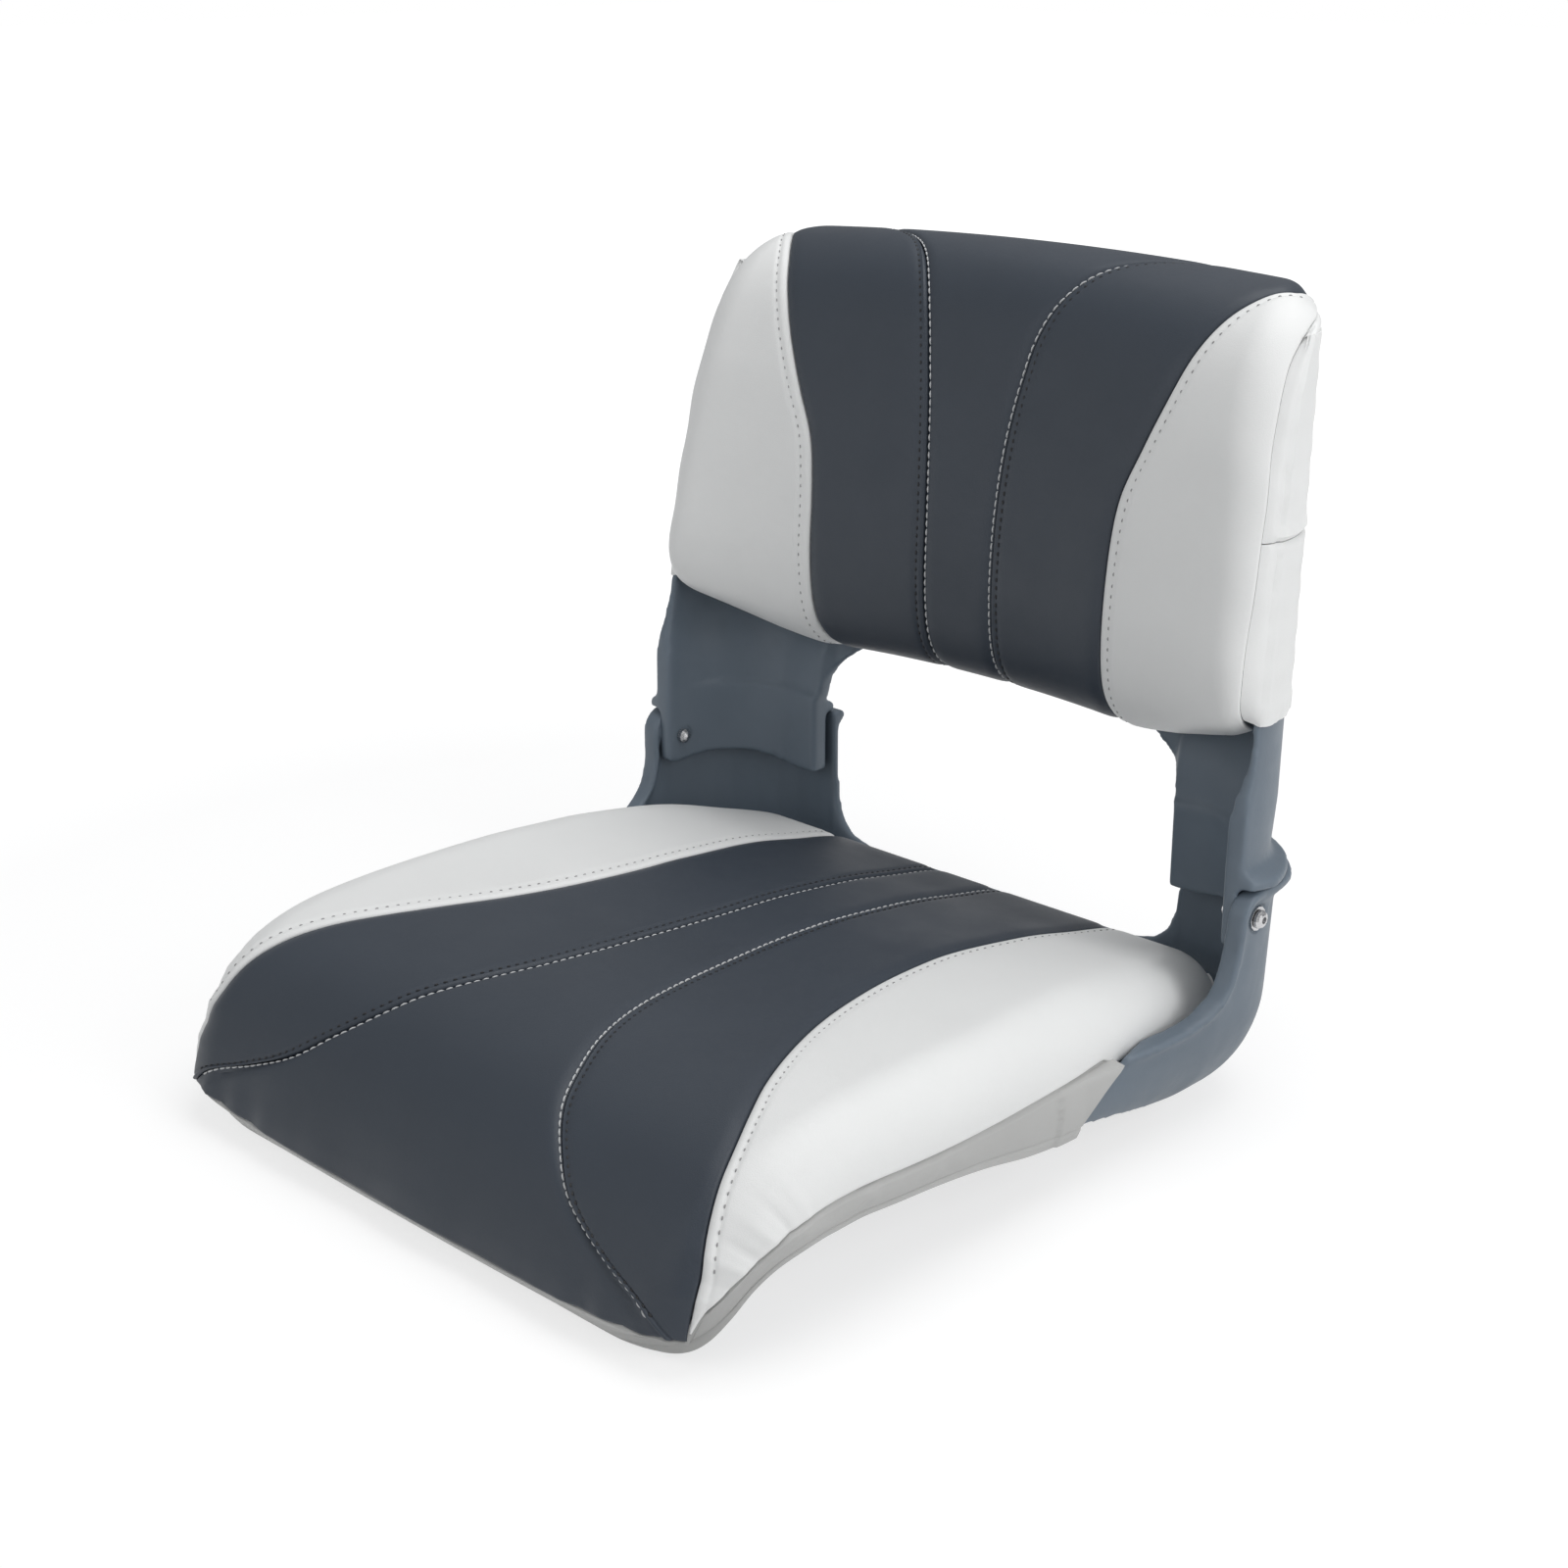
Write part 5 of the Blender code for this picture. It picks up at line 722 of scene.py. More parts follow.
def merged(name, blocks, copied, cuts, voxel, look, body, slot, smoothing=6):
    """One softened skin round closed forms that overlap. cuts are round pockets: centre, axis
    end and radius."""
    built = bmesh.new()
    for verts, faces in blocks:
        made = [built.verts.new(v) for v in verts]
        fresh = [built.faces.new([made[i] for i in face]) for face in faces if len(set(face)) > 2]
        bmesh.ops.recalc_face_normals(built, faces=fresh)
    for node in copied:
        built.from_mesh(node.data)
    mesh = bpy.data.meshes.new(name)
    built.to_mesh(mesh)
    built.free()
    rough = placed(f"{name}_rough", mesh)
    remesh = rough.modifiers.new("skin", "REMESH")
    remesh.mode, remesh.voxel_size = "VOXEL", voxel
    tools = []
    for start, end, radius in cuts:
        start, end = Vector(start), Vector(end)
        tool = bpy.data.meshes.new("pocket")
        drill = bmesh.new()
        bmesh.ops.create_cone(drill, cap_ends=True, segments=40, radius1=radius, radius2=radius,
                              depth=(end - start).length)
        turn = (end - start).to_track_quat("Z", "Y").to_matrix().to_4x4()
        bmesh.ops.transform(drill, matrix=turn, verts=drill.verts)
        bmesh.ops.translate(drill, vec=(start + end) / 2, verts=drill.verts)
        drill.to_mesh(tool)
        drill.free()
        tool = placed("pocket", tool)
        cut = rough.modifiers.new("pocket", "BOOLEAN")
        cut.operation, cut.object, cut.solver = "DIFFERENCE", tool, "EXACT"
        tools.append(tool)
    soften = rough.modifiers.new("soften", "SMOOTH")
    soften.factor, soften.iterations = 0.5, smoothing
    graph = bpy.context.evaluated_depsgraph_get()
    final = bpy.data.meshes.new_from_object(rough.evaluated_get(graph))
    for old in (rough, *tools):
        bpy.data.objects.remove(old, do_unlink=True)
    final.materials.clear()
    final.shade_smooth()
    final.materials.append(look)
    obj = placed(name, final)
    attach(obj, body)
    return obj


def rim_path():
    """The line of the upright's rim, from its tip to above the pivot, in the side view."""
    stop_y = PIVOT_Y - STOP_RADIUS
    path = [(RIM_TIP_Y + back * (stop_y - RIM_TIP_Y), RIM_TIP_Z + up * (PIVOT_Z - RIM_TIP_Z))
            for back, up in RIM_SHARES]
    for turn in np.linspace(0, math.pi / 2, 5)[1:]:
        path.append((PIVOT_Y - STOP_RADIUS * math.cos(turn), PIVOT_Z + STOP_RADIUS * math.sin(turn)))
    return curve_through(path, 110)


def pan_wall_point(kind, value, z):
    """A point on the outside of the pan's wall, and the way out there."""
    if kind == "side":
        x, y, nx, ny = pan_half_width(value, z), value, 1.0, 0.0
    elif kind == "rear_arc":
        turn = value * math.pi / 2
        nx, ny = math.cos(turn), math.sin(turn)
        x = pan_half_width(PAN_REAR_Y, z) - PAN_REAR_RADIUS + PAN_REAR_RADIUS * nx
        y = PAN_REAR_Y - PAN_REAR_RADIUS + PAN_REAR_RADIUS * ny
    else:
        x, y, nx, ny = value, PAN_REAR_Y, 0.0, 1.0
    inset = under_inset(y, z)
    return np.array([x - nx * inset, y - ny * inset, z]), np.array([nx, ny, 0.0])


def pan_wall():
    """The rear of the pan's wall with both uprights, in fine steps."""
    tuck = RIM_DEPTH / 4
    start, run = PAN_FRONT_Y + PAN_FRONT_RADIUS, PAN_REAR_Y - PAN_FRONT_Y - PAN_FRONT_RADIUS

    def arch(y):
        return float(smooth_table(PAN_ARCH_SHARES, 1, (y - start) / run)) * ARCH_HEIGHT

    stations = [("side", y, float(deck_z(y)) - tuck, arch(y))
                for y in np.linspace(PAN_WALL_START_Y, RIM_TIP_Y - RIM_WIDTH, 24)]
    turn = 0.0
    for y, z in rim_path():
        past = (y + tuck - PAN_REAR_Y + PAN_REAR_RADIUS) / PAN_REAR_RADIUS
        if past < 0:
            stations.append(("side", y + tuck, z - tuck, arch(y + tuck)))
        else:
            turn = math.asin(past)
            stations.append(("rear_arc", turn / (math.pi / 2), z - tuck, 0.0))
    for angle in np.linspace(turn, math.pi / 2, 40)[1:]:
        stations.append(("rear_arc", angle / (math.pi / 2), UPRIGHT_TOP_Z - tuck, 0.0))
    middle_z = DECK_REAR_Z + PAN_WALL
    for inward in np.linspace(0, UPRIGHT_END_SHARES[-1][0], 50)[1:]:
        up = float(smooth_table(UPRIGHT_END_SHARES, 1, inward))
        top = middle_z + up * (UPRIGHT_TOP_Z - tuck - middle_z)
        stations.append(("rear", UPRIGHT_END_X * (1 - inward), top, 0.0))
    for share in (0.5, 0.25, 0.0):
        stations.append(("rear", UPRIGHT_END_X * share, middle_z, 0.0))
    outer, inner = [], []
    for share in np.linspace(0, 1, 26) ** 1.4:
        out_row, in_row = [], []
        for kind, value, top, bottom in stations:
            z = bottom + share * (top - bottom)
            here, out = pan_wall_point(kind, value, z)
            above, _ = pan_wall_point(kind, value, z + PAN_WALL / 20)
            rise = (above - here) / np.linalg.norm(above - here)
            normal = out - rise * out.dot(rise)
            normal /= np.linalg.norm(normal)
            out_row.append(here)
            in_row.append(here - normal * PAN_WALL)
        outer.append(both_halves(out_row))
        inner.append(both_halves(in_row))
    return grid_block(outer, inner)


def rim_bar(side):
    """The flat flange along the upright's rim, which grows from the rim's tip."""
    path, sections = rim_path(), []
    for i, (y, z) in enumerate(path):
        before, after = path[max(0, i - 1)], path[min(len(path) - 1, i + 1)]
        run = np.array([0.0, *(after - before)])
        run /= np.linalg.norm(run)
        inward = np.array([0.0, run[2], -run[1]])
        outside = pan_half_width(y, z)
        grown = min(1.0, i / 16)
        proud = RIM_PROUD * (0.4 + 0.9 * grown)
        width = RIM_WIDTH * (0.28 + 0.72 * grown) * (1.22 - 0.40 * min(1.0, 1.4 * i / len(path)))
        off = RIM_DEPTH / 4
        near = proud - width
        corners = ((proud - off, 0.0), (proud, off), (proud, RIM_DEPTH - off), (proud - off, RIM_DEPTH),
                   (near + off, RIM_DEPTH), (near, RIM_DEPTH - off), (near, off), (near + off, 0.0))
        sections.append([np.array([side * (outside + a), y, z]) + inward * b for a, b in corners])
    return bar_block(sections)


def collar(side, places, foot_z, corners):
    """A bar round a corner of the plan, with one profile that stands proud by place."""
    sections = []
    for (x, y), (nx, ny), proud in places:
        profile = [(share * proud - inset, up) for share, inset, up in corners]
        sections.append([(side * (x + nx * off), y + ny * off, foot_z + up) for off, up in profile])
    return bar_block(sections)


def lip(side):
    """The lip round the rear corner of an upright, on which the arm's foot stands."""
    first = math.asin((PIVOT_Y - PAN_REAR_Y + PAN_REAR_RADIUS) / PAN_REAR_RADIUS)
    turns, places = np.linspace(max(0.0, first), math.pi / 2, 48), []
    for turn in turns:
        here, out = pan_wall_point("rear_arc", turn / (math.pi / 2), UPRIGHT_TOP_Z)
        back = (turn - turns[0]) / (turns[-1] - turns[0])
        full = LIP_PROUD + (LIP_REAR_PROUD - LIP_PROUD) * back
        places.append((here[:2], out[:2], full * min(1.0, 0.25 + 3.0 * back)))
    here, out = pan_wall_point("rear", UPRIGHT_END_X, UPRIGHT_TOP_Z)
    places.append((here[:2], out[:2], LIP_REAR_PROUD))
    deep, wall = LIP_DEPTH, PAN_WALL * 0.7
    corners = ((0, wall, 0.0), (1, LIP_ROUND, 0.0), (1, 0.0, -deep * 0.25),
               (1, LIP_ROUND * 5 / 12, -deep * 0.65), (0.75, 0.0, -deep * 0.95), (0.25, 0.0, -deep * 1.3),
               (0, LIP_ROUND / 2, -deep * 2.2), (0, wall, -deep * 2.2))
    return collar(side, places, UPRIGHT_TOP_Z, corners)


def shell_size(z):
    """The back shell's half width, rear and front at a height."""
    up = max(0.0, z - SHELL_BOTTOM_Z + ARM_LEDGE) / (SHELL_TOP_Z - SHELL_BOTTOM_Z + ARM_LEDGE)
    half = ARM_HALF_WIDTH - ARM_TOP_NARROWING * up
    rear = ARM_REAR_Y + ARM_LEAN * (z - (UPRIGHT_TOP_Z + ARM_LEDGE))
    share = (z - UPRIGHT_TOP_Z) / (SHELL_TOP_Z - UPRIGHT_TOP_Z)
    depth = ARM_REAR_Y + ARM_LEAN * ARM_RADIUS * 4 - ARM_FRONT_Y
    front = ARM_FRONT_Y + float(smooth_table(SHELL_FRONT_SHARES, 1, share)) * depth
    return half, rear, front


def plan_point(kind, value, half, rear, radius, front):
    """A point of the shell's plan, along its side and bend or on its rear, and the way out."""
    if kind == "rear":
        return np.array([value, rear]), np.array([0.0, 1.0])
    straight = max(0.0, rear - radius - front)
    first = math.asin(min(1.0, max(0.0, front - rear + radius) / radius))
    along = value * (straight + radius * (math.pi / 2 - first))
    if along < straight:
        return np.array([half, front + along]), np.array([1.0, 0.0])
    turn = first + (along - straight) / radius
    out = np.array([math.cos(turn), math.sin(turn)])
    return np.array([half - radius, rear - radius]) + radius * out, out


def shell_strip():
    """Both arms and the panel between them; the arms are thick where they show."""
    foot_z = UPRIGHT_TOP_Z + LIP_GAP + 2 * CLEARANCE
    stations = [("bend", share) for share in np.linspace(0, 1, 46)]
    inwards = np.linspace(0, ARM_END_SHARES[-1][0], 40)[1:]
    stations += [("rear", ARM_END_X * share) for share in (*(1 - inwards), 0.6, 0.4, 0.2, 0.0)]
    outer, inner = [], []
    for rise in np.linspace(0, 1, 70):
        out_row, in_row = [], []
        for kind, value in stations:
            inward = 1 - value / ARM_END_X if kind == "rear" else 0.0
            low = foot_z + float(smooth_table(ARM_END_SHARES, 1, inward)) * (SHELL_BOTTOM_Z - foot_z)
            top = SHELL_TOP_Z - (SHELL_TOP_DROP * (1 - value) ** 1.5 if kind == "bend" else 0.0)
            z = low + rise * (top - low)
            half, rear, front = shell_size(z)
            thick = half - ARM_INNER_X
            thin = min(1.0, max(0.0, (z - ARM_THICK_Z) / (ARM_THIN_Z - ARM_THICK_Z)))
            thin = max(thin * thin * (3 - 2 * thin), min(1.0, inward / 0.05))
            wall = thick + (SHELL_WALL - thick) * thin
            place, out = plan_point(kind, value, half, rear, ARM_RADIUS, front)
            out_row.append((*place, z))
            in_row.append((*(place - out * wall), z))
        outer.append(both_halves(out_row))
        inner.append(both_halves(in_row))
    return grid_block(outer, inner)


def tail(side):
    """The plate of an arm that hangs inside its upright and turns on the pivot."""
    stations = [("bend", share) for share in np.linspace(0, 1, 40)] + [("rear", ARM_END_X + CLEARANCE)]
    shares = np.linspace(0, 1, len(stations))
    half, rear, front = shell_size(UPRIGHT_TOP_Z)
    outer, inner = [], []
    for up in np.linspace(0, 1, 20):
        out_row, in_row = [], []
        for (kind, value), share in zip(stations, shares):
            corner = TAIL_CORNER * max(0.0, 1 - share / 0.10) ** 2
            low = TAIL_LOW_Z + TAIL_BEND * math.sin(math.pi * share) + corner
            z = low + up * (TAIL_TOP_Z - low)
            place, out = plan_point(kind, value, TAIL_HALF_WIDTH, TAIL_REAR_Y, TAIL_RADIUS, ARM_FRONT_Y)
            broad = TAIL_EDGE * (share < 0.05)
            out_row.append((side * (place[0] + out[0] * broad), place[1], z))
            place, out = plan_point(kind, value, half, rear, ARM_RADIUS, front)
            place = place - out * (half - ARM_INNER_X)
            in_row.append((side * place[0], place[1], z))
        outer.append(out_row)
        inner.append(in_row)
    return grid_block(outer, inner)


def foot(side):
    """The flange at the foot of an arm, which stands on the upright's lip."""
    z = UPRIGHT_TOP_Z + LIP_GAP
    half, rear, front = shell_size(z)
    stations = [("bend", share) for share in np.linspace(0.01, 1, 46)] + [("rear", ARM_END_X + CLEARANCE)]
    places = []
    for kind, value in stations:
        place, out = plan_point(kind, value, half, rear, ARM_RADIUS, front)
        back = value if kind == "bend" else 1.0
        proud = FOOT_PROUD + (FOOT_REAR_PROUD - FOOT_PROUD) * back
        places.append((place, out, proud * min(1.0, 0.45 + 4.0 * back)))
    deep, tuck = FOOT_DEPTH, ARM_LEDGE * 0.75
    corners = ((0, tuck, 0.0), (1, FOOT_ROUND, 0.0), (1, 0.0, FOOT_ROUND), (1, 0.0, deep - 1.5 * FOOT_ROUND),
               (1, 1.5 * FOOT_ROUND, deep), (0.45, 0.0, deep + FOOT_FILLET * 0.10),
               (0.12, 0.0, deep + FOOT_FILLET * 0.45), (0, CLEARANCE, deep + FOOT_FILLET),
               (0, tuck, deep + FOOT_FILLET))
    return collar(side, places, z, corners)


def pockets(from_x, to_x, radius):
    """Round pockets on the pivots' line, one on each side."""
    return [((side * from_x, PIVOT_Y, PIVOT_Z), (side * to_x, PIVOT_Y, PIVOT_Z), radius) for side in (1, -1)]


spot_x = float(pan_half_width(PIVOT_Y, PIVOT_Z)) - PAN_WALL / 3
for name, node, body, blocks, copied, cuts in (
        ("seat_pan_skin", "seat_pan", "base", [pan_wall(), rim_bar(1), rim_bar(-1), lip(1), lip(-1)],
         [NODES["seat_pan"]], pockets(spot_x, spot_x + SCREW_POCKET_DEPTH, SCREW_POCKET_RADIUS)),
        ("back_shell_skin", "back_shell", "back", [shell_strip(), tail(1), tail(-1), foot(1), foot(-1)],
         [], pockets(*NUT_POCKET_X, NUT_POCKET_RADIUS))):
    skin = merged(name, blocks, copied, cuts, PLASTIC_VOXEL, PLASTIC, body, "shell_plastic")
    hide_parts(node)


# The boxing and the hems
def boxing_hem(s, v, top, corner, corner_y, front_y, widest):
    """Where the boxing's hem meets the pan under a point of the seam, and the way out there."""
    lean = BOXING_END_LEAN * max(0.0, (top[1] + BOXING_END_Y) / (2 * BOXING_END_Y)) ** 2
    straight = PAN_HALF_WIDTH - PAN_FRONT_RADIUS
    aim = [top[0], top[1] - lean]
    if v > corner:
        turn = math.acos(min(1.0, (corner_y - top[1]) / (corner_y - front_y)))
        across = math.copysign(straight, s) if v < 1.0 else straight * s / widest
        aim = [across + math.copysign(math.sin(turn), s), corner_y - math.cos(turn)]
    core = np.array([max(-straight, min(straight, aim[0])), max(corner_y, aim[1])])
    way = np.array(aim) - core
    way /= np.linalg.norm(way)
    hem = core + way * (PAN_FRONT_RADIUS + 2 * CLEARANCE + VINYL)
    if aim[1] > corner_y:
        hem[0] = math.copysign(float(pan_half_width(hem[1], DECK_REAR_Z)) + 2 * CLEARANCE + VINYL, s)
    return hem, np.array([*way, 0.0])


def seat_boxing():
    """The grey strip below the seat's lower seam, gathered round the front corners."""
    spread = np.linspace(0, 1, 801)
    edge = SEAT.seam("lower", spread) + SEAM_GAP
    edge_y = SEAT.plain(edge, spread)[:, 1]
    corner_y = PAN_FRONT_Y + PAN_FRONT_RADIUS
    start, corner = (spread[np.argmax(edge_y < least)] for least in (BOXING_END_Y, corner_y))
    along = np.concatenate([np.linspace(start, corner, 90), np.linspace(corner, 1.0, 110)[1:]])
    line = [(float(np.interp(v, spread, edge)), v) for v in along]
    widest = line[-1][0]
    line += [(widest * share, 1.0) for share in np.linspace(0.99, 0.0, 70)]
    line += [(-s, v) for s, v in reversed(line[:-1])]
    shares = np.concatenate([[0.0, 0.02, 0.05], np.linspace(0.09, 1, 26)])
    draw = np.random.default_rng(5)
    gathers = [(draw.uniform(0, 0.30), draw.uniform(0.004, 0.009), draw.uniform(0.5, 1.5),
                draw.uniform(-0.02, 0.02)) for _ in range(BOXING_GATHERS)]
    outer, inner = ([[] for _ in range(len(shares) + 1)] for _ in range(2))
    for s, v in line:
        top, (_, way_out) = SEAT.plain(s, v), SEAT.surface(s, v)
        hem, way = boxing_hem(s, v, top, corner, corner_y, edge_y[-1], widest)
        hem_z = float(smooth_table(BOXING_HEM_SHARES, 1, along_pan(hem[1]))) * SEAT_TOP_Z
        tucked = top - way_out * BOXING_TUCK + np.array([0, 0, BOXING_TUCK_RISE])
        outer[0].append(tucked)
        inner[0].append(tucked - way * VINYL)
        from_corner = abs(top[1] + CORNER_GATHER_Y) if v < 1.0 else CORNER_GATHER_X + (widest - abs(s)) * 0.9
        fade = bell(from_corner, BOXING_GATHER_REACH)
        around = abs(s) * 0.6 + abs(top[1]) - BOXING_GATHER_START
        for row, share in enumerate(shares):
            x, y = hem + (top[:2] - hem) * (1 - share) ** 2
            z = top[2] - BOXING_TUCK_RISE + (hem_z - top[2]) * share
            if share > 0 and y > 0 and z < deck_z(y) + DECK_ROOM:
                x = math.copysign(float(pan_half_width(y, z)) + 5 * CLEARANCE + VINYL, x)
            puff = BOXING_PUFF * math.sin(math.pi * min(1.0, share * 1.3))
            puff -= BOXING_TOP_DIP * bell(share, 0.05)
            folds = sum(tall * bell(around - place + slant * share, width)
                        for place, width, tall, slant in gathers)
            puff += BOXING_PUFF * fade * folds * bell(share - 0.35, 0.4)
            puff -= BOXING_HEM_DIP * bell(share - BOXING_HEM_LINE_SHARE, 0.02)
            point = np.array([x, y, z]) + way * (puff - under_inset(y, z) * min(1.0, share * 2))
            outer[row + 1].append(point)
            inner[row + 1].append(point - way * VINYL)
    soft_skin("seat_boxing_cover", outer, inner, GREY, "base", "vinyl_grey", "seat_boxing", 0.4)


def shell_at(kind, value, z, off):
    half, rear, front = shell_size(z)
    place, out = plan_point(kind, value, half, rear, ARM_RADIUS, front)
    return np.array([*(place + out * off), z])


def lengths(points):
    """The length along a line of points, at each of them."""
    return np.concatenate([[0], np.cumsum(np.linalg.norm(np.diff(points, axis=0), axis=1))])


def columns_at(at, places, points):
    return np.column_stack([np.interp(at, places, points[:, k]) for k in range(3)])


def boxing_relief(z):
    """The seam across the back's boxing, its hem's stitching and a soft slack."""
    height = sum(tall * bell(z - BOXING_SEAM_Z - over, width) for over, width, tall in CROSS_SEAM_LINES)
    height -= HEM_STITCH_DIP * bell(z - BOXING_BOTTOM_Z - HEM_RISE, HEM_STITCH_WIDTH)
    return height + SLACK * math.sin(z * SLACK_HEIGHT) ** 2


def back_boxing(side, hand):
    """The white boxing round one side of the shell, in an upper and a lower piece."""
    near, corner = 2 * CLEARANCE, BACK_CORNER_SHARE
    samples = np.linspace(corner, 1, 1601)
    rim_z = BACK.plain(BACK.reach(samples), samples)[:, 2]
    inner_s = REAR_PANEL_HALF_WIDTH + SEAM_GAP / 2
    stations = [("bend", share) for share in np.linspace(0, 1, 44)] + [("rear", inner_s)]

    def row(z, off):
        """Points at one height, from the cover's edge over a bridge and round the shell."""
        share = float(np.interp(-z, -rim_z, samples))
        point, way = BACK.surface(float(BACK.reach(share)), share)
        start = point - way * VINYL
        round_shell = [shell_at(kind, value, z, off - CORNER_TUCK * (value == 0.0) * (kind == "bend"))
                       for kind, value in stations]
        bridge = []
        for t in (0.0, 0.12, 0.3, 0.5, 0.7, 0.88):
            here = start + (round_shell[0] - start) * t
            here[0] += BRIDGE_BULGE * math.sin(math.pi * t)
            bridge.append(here)
        return np.array(bridge + round_shell)

    # The cover's rim over the top of the shell, where the upper piece starts
    rim = [(float(BACK.reach(v)), v) for v in np.linspace(corner, 0.0, 60)]
    rim += [(inner_s + share * (rim[-1][0] - inner_s), 0.0) for share in np.linspace(1, 0, 40)[1:]]
    ring, ways = BACK.surface(*np.array(rim).T)
    first_z = float(ring[:, 2].min()) - TOP_DROP
    line = lengths(np.array([shell_at(*station, first_z, near)[:2] for station in stations]))
    shares = np.concatenate([[0.0], 0.06 + 0.94 * line / line[-1]])
    length = lengths(ring)
    tops, outs = (columns_at(shares * length[-1], length, points) for points in (ring, ways))
    columns = len(row(first_z, near + VINYL))
    places = np.arange(len(tops))
    spread = np.interp(np.linspace(0, 1, columns), np.linspace(0, 1, len(tops)), places)
    tops, outs = columns_at(spread, places, tops), columns_at(spread, places, outs)

    def over_the_top(off):
        base = row(first_z, off + boxing_relief(first_z))
        inset = VINYL if off > near else 2 * VINYL
        for t in np.linspace(0, 1, 14)[:-1]:
            swell = TOP_SWELL * math.sin(math.pi * t) * np.minimum(1, np.arange(columns) / 9)
            points = tops - outs * inset + (base - tops) * t + outs * swell[:, None] * 0.2
            yield points + swell[:, None] * (0.5, 0.6, 0.0)

    wave = np.sin(np.arange(columns) * 0.9) + 0.6 * np.sin(np.arange(columns) * 2.3 + 1)
    for title, zs in (("upper", np.linspace(first_z, BOXING_SEAM_Z + SEAM_GAP / 2, 44)),
                      ("lower", np.linspace(BOXING_SEAM_Z - SEAM_GAP / 2, BOXING_BOTTOM_Z, 44))):
        skins = []
        for off in (near + VINYL, near):
            grid = [*over_the_top(off)] if title == "upper" else []
            grid = np.array(grid + [row(z, off + boxing_relief(z)) for z in zs])
            pucker = np.clip((BOXING_BOTTOM_Z + HEM_RISE - grid[..., 2]) / HEM_RISE, 0, 1)
            grid[..., 0] = side * (grid[..., 0] + HEM_PUCKER * pucker * wave)
            skins.append(grid)
        soft_skin(f"back_boxing_{title}_cover_{hand}", *skins, WHITE, "back", "vinyl_white",
                  f"back_boxing_{title}_{hand}", 0.5)


def rear_panel():
    """The panel on the rear of the shell, slightly slack, with a turned hem."""
    xs = np.linspace(-1, 1, 70) * (REAR_PANEL_HALF_WIDTH - SEAM_GAP / 2)
    top, _ = BACK.surface(xs, np.zeros_like(xs))
    room = 1 - (xs / REAR_PANEL_HALF_WIDTH) ** 4
    outer, inner = [], []
    for share in np.linspace(0, 1, 70):
        if share < REAR_TURN_SHARE:
            turn = share / REAR_TURN_SHARE * math.pi / 2
            rear = shell_size(SHELL_TOP_Z)[1] + 2 * CLEARANCE + VINYL
            y = top[:, 1] + (rear - top[:, 1]) * math.sin(turn)
            z = top[:, 2] + (SHELL_TOP_Z - top[:, 2]) * (1 - math.cos(turn))
        else:
            down = (share - REAR_TURN_SHARE) / (1 - REAR_TURN_SHARE)
            z = SHELL_TOP_Z + (BOXING_BOTTOM_Z - SHELL_TOP_Z) * down
            y = shell_size(z)[1] + 2 * CLEARANCE + VINYL + REAR_SLACK * math.sin(math.pi * down) * room
            y = y - REAR_HEM_DIP * bell(z - BOXING_BOTTOM_Z - REAR_HEM_RISE, REAR_HEM_WIDTH)
        outer.append(np.column_stack([xs, y, z + 0 * xs]))
        inner.append(outer[-1] - (0, VINYL, VINYL if share < REAR_TURN_SHARE / 2 else 0))
    soft_skin("back_cover_rear", outer, inner, CHARCOAL, "back", "vinyl_charcoal", "back_rear_panel", 0.4)


def points_of(mesh):
    points = np.empty(len(mesh.vertices) * 3)
    mesh.vertices.foreach_get("co", points)
    return points.reshape(-1, 3)


def pad(name, node, body):
    """A foam pad blown up by cloth pressure inside its cover, from a slightly smaller start."""
    obj = placed(name, NODES[node].data.copy())
    steps = obj.modifiers.new("skin", "REMESH")
    steps.mode, steps.voxel_size = "VOXEL", PAD_VOXEL
    smaller = obj.modifiers.new("smaller", "DISPLACE")
    smaller.strength, smaller.mid_level = -PAD_SHRINK, 0.0
    graph = bpy.context.evaluated_depsgraph_get()
    mesh = bpy.data.meshes.new_from_object(obj.evaluated_get(graph))
    obj.modifiers.clear()
    obj.data = mesh
    start = points_of(mesh)
    cloth = obj.modifiers.new("cloth", "CLOTH")
    cloth.settings.use_pressure = True
    cloth.settings.uniform_pressure_force = PAD_PRESSURE
    cloth.settings.effector_weights.gravity = 0.0
    cloth.settings.quality = 5
    for at in range(1, PAD_FRAMES + 1):
        bpy.context.scene.frame_set(at)
    graph = bpy.context.evaluated_depsgraph_get()
    move = points_of(obj.evaluated_get(graph).to_mesh()) - start
    obj.evaluated_get(graph).to_mesh_clear()
    far = np.linalg.norm(move, axis=1)
    move *= (np.minimum(far, PAD_CAP) / np.maximum(far, 1e-9))[:, None]
    obj.modifiers.clear()
    mesh.vertices.foreach_set("co", (start + move).ravel())
    bpy.context.scene.frame_set(1)
    finer = obj.modifiers.new("finer", "SUBSURF")
    finer.levels = finer.render_levels = 1
    mesh.materials.clear()
    mesh.materials.append(FOAM)
    mesh.shade_smooth()
    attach(obj, body)
    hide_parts(node)


seat_boxing()
for side, hand in HANDS:
    back_boxing(side, hand)
rear_panel()
pad("seat_pad", "seat_foam", "base")
pad("back_pad", "back_foam", "back")
SLOTS = {row["node"]: row["material_slot"] for row in frame["record"]["subparts"]}
flap = merged("seat_rear_flap_cover", [], [NODES["seat_rear_flap"]], [], FLAP_VOXEL, GREY, "base",
              SLOTS["seat_rear_flap"], 2)
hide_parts("seat_rear_flap")


# Materials of the solids that stay
LOOKS = {"shell_plastic": PLASTIC, "vinyl_charcoal": CHARCOAL, "vinyl_white": WHITE, "vinyl_grey": GREY,
         "foam": FOAM, "stainless_steel": STEEL, "brass": BRASS, "nylon": NYLON}
for node, slot in SLOTS.items():
    NODES[node].data.materials.clear()
    NODES[node].data.materials.append(LOOKS[slot])

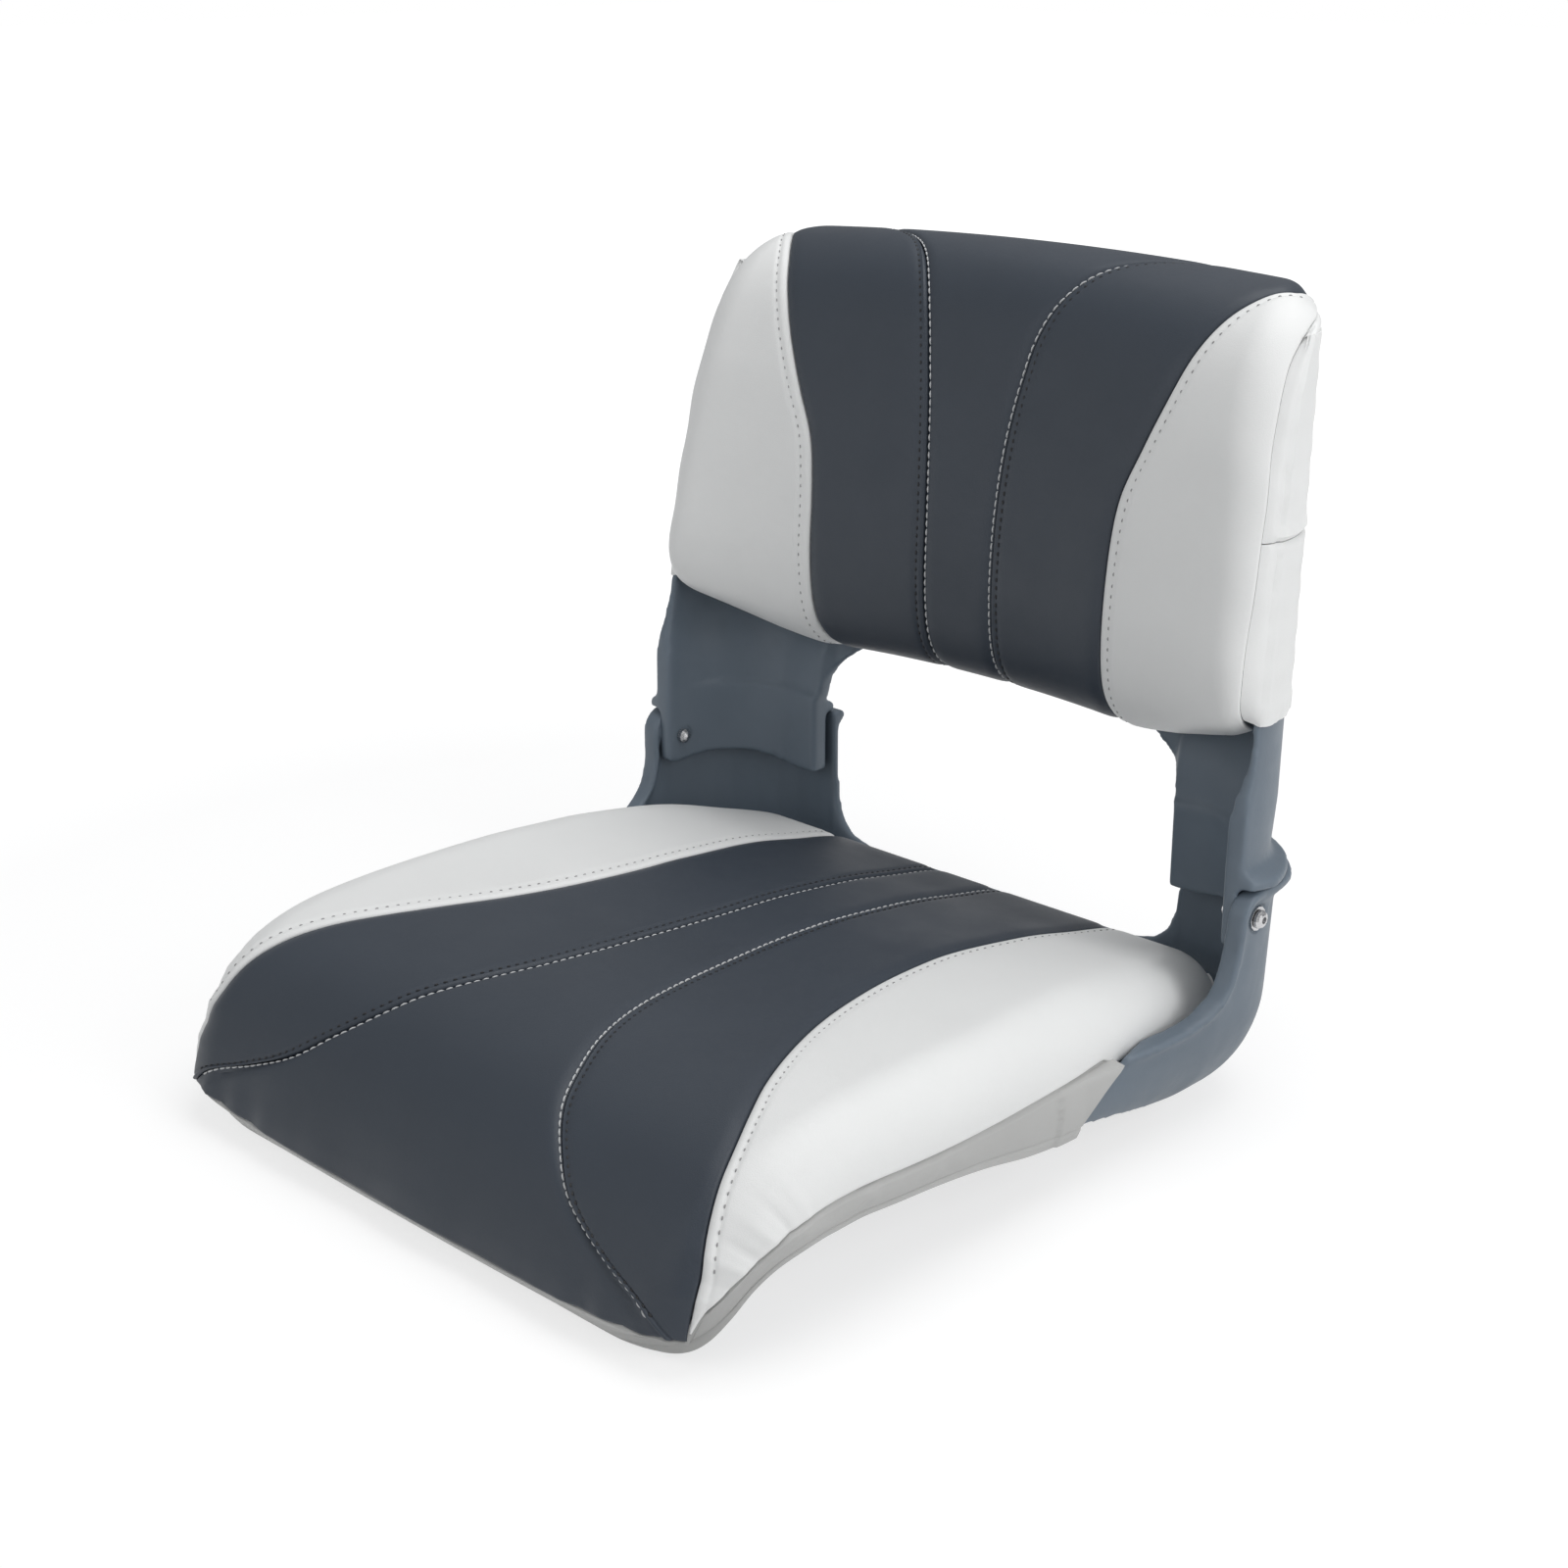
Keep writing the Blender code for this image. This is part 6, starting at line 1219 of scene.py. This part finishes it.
# Floor, light and camera
floor_look, tree, bounce = nodes_of("studio_floor")
bounce.inputs["Base Color"].default_value = (0.80, 0.80, 0.80, 1)
bounce.inputs["Roughness"].default_value = 0.9
bounce.inputs["Specular IOR Level"].default_value = 0.1
ray = add(tree, "ShaderNodeLightPath")
glow, place = add(tree, "ShaderNodeEmission"), add(tree, "ShaderNodeTexCoord")
far = add(tree, "ShaderNodeVectorMath", operation="LENGTH")
tree.links.new(place.outputs["Object"], far.inputs[0])
tree.links.new(ramp(tree, far.outputs["Value"], 0.70, 1.0, 0.6, 1.6), glow.inputs["Strength"])
shown = add(tree, "ShaderNodeBsdfDiffuse", Color=(0.36, 0.36, 0.36, 1))
both, choose = add(tree, "ShaderNodeAddShader"), add(tree, "ShaderNodeMixShader")
seen = add(tree, "ShaderNodeMath", operation="MAXIMUM")
for source, target in ((ray.outputs["Is Camera Ray"], seen.inputs[0]),
                       (ray.outputs["Is Glossy Ray"], seen.inputs[1]),
                       (shown.outputs[0], both.inputs[0]), (glow.outputs[0], both.inputs[1]),
                       (seen.outputs[0], choose.inputs[0]), (bounce.outputs[0], choose.inputs[1]),
                       (both.outputs[0], choose.inputs[2]),
                       (choose.outputs[0], tree.nodes["Material Output"].inputs["Surface"])):
    tree.links.new(source, target)
corners = [(x * FLOOR_HALF, y * FLOOR_HALF, 0) for x, y in ((-1, -1), (1, -1), (1, 1), (-1, 1))]
floor = bpy.data.meshes.new("studio_floor")
floor.from_pydata(corners, [], [(0, 1, 2, 3)])
floor.materials.append(floor_look)
floor = placed("studio_floor", floor)
floor.location.z = -FLOOR_DROP

world = bpy.data.worlds.new("studio")
bpy.context.scene.world = world
world.use_nodes = True
tree = world.node_tree
ambient = tree.nodes["Background"]
ambient.inputs["Color"].default_value = (0.97, 0.985, 1.0, 1)
ambient.inputs["Strength"].default_value = 0.38
white = add(tree, "ShaderNodeBackground", Strength=1.0, Color=(1, 1, 1, 1))
ray, choose = add(tree, "ShaderNodeLightPath"), add(tree, "ShaderNodeMixShader")
for source, target in ((ray.outputs["Is Camera Ray"], choose.inputs[0]),
                       (ambient.outputs[0], choose.inputs[1]), (white.outputs[0], choose.inputs[2]),
                       (choose.outputs[0], tree.nodes["World Output"].inputs["Surface"])):
    tree.links.new(source, target)


def softbox(name, place, target, size, power):
    lamp = bpy.data.lights.new(name, "AREA")
    lamp.shape, lamp.size, lamp.size_y = "RECTANGLE", *size
    lamp.energy = power
    obj = placed(name, lamp)
    obj.location = place
    obj.rotation_euler = (Vector(target) - Vector(place)).to_track_quat("-Z", "Y").to_euler()


softbox("overhead", (0.25, 0.35, 1.9), (0.0, 0.0, 0.1), (1.8, 1.4), 19.0)
softbox("right_side", (1.7, 0.1, 0.9), (0.0, 0.05, 0.2), (1.0, 1.2), 10.5)
softbox("front_fill", (-0.5, -1.8, 1.0), (0.0, 0.0, 0.2), (1.4, 1.0), 4.5)

azimuth, elevation = math.radians(44.0), math.radians(19.7)
camera = bpy.data.cameras.new("camera")
camera.lens, camera.sensor_width = 56.25, 36.0
camera = placed("camera", camera)
camera.location = (0.884, -0.892, 0.625)
look_along = Vector((-math.sin(azimuth) * math.cos(elevation), math.cos(azimuth) * math.cos(elevation),
                     -math.sin(elevation)))
camera.rotation_euler = look_along.to_track_quat("-Z", "Y").to_euler()
bpy.context.scene.camera = camera
bpy.context.scene.view_settings.view_transform = "Standard"
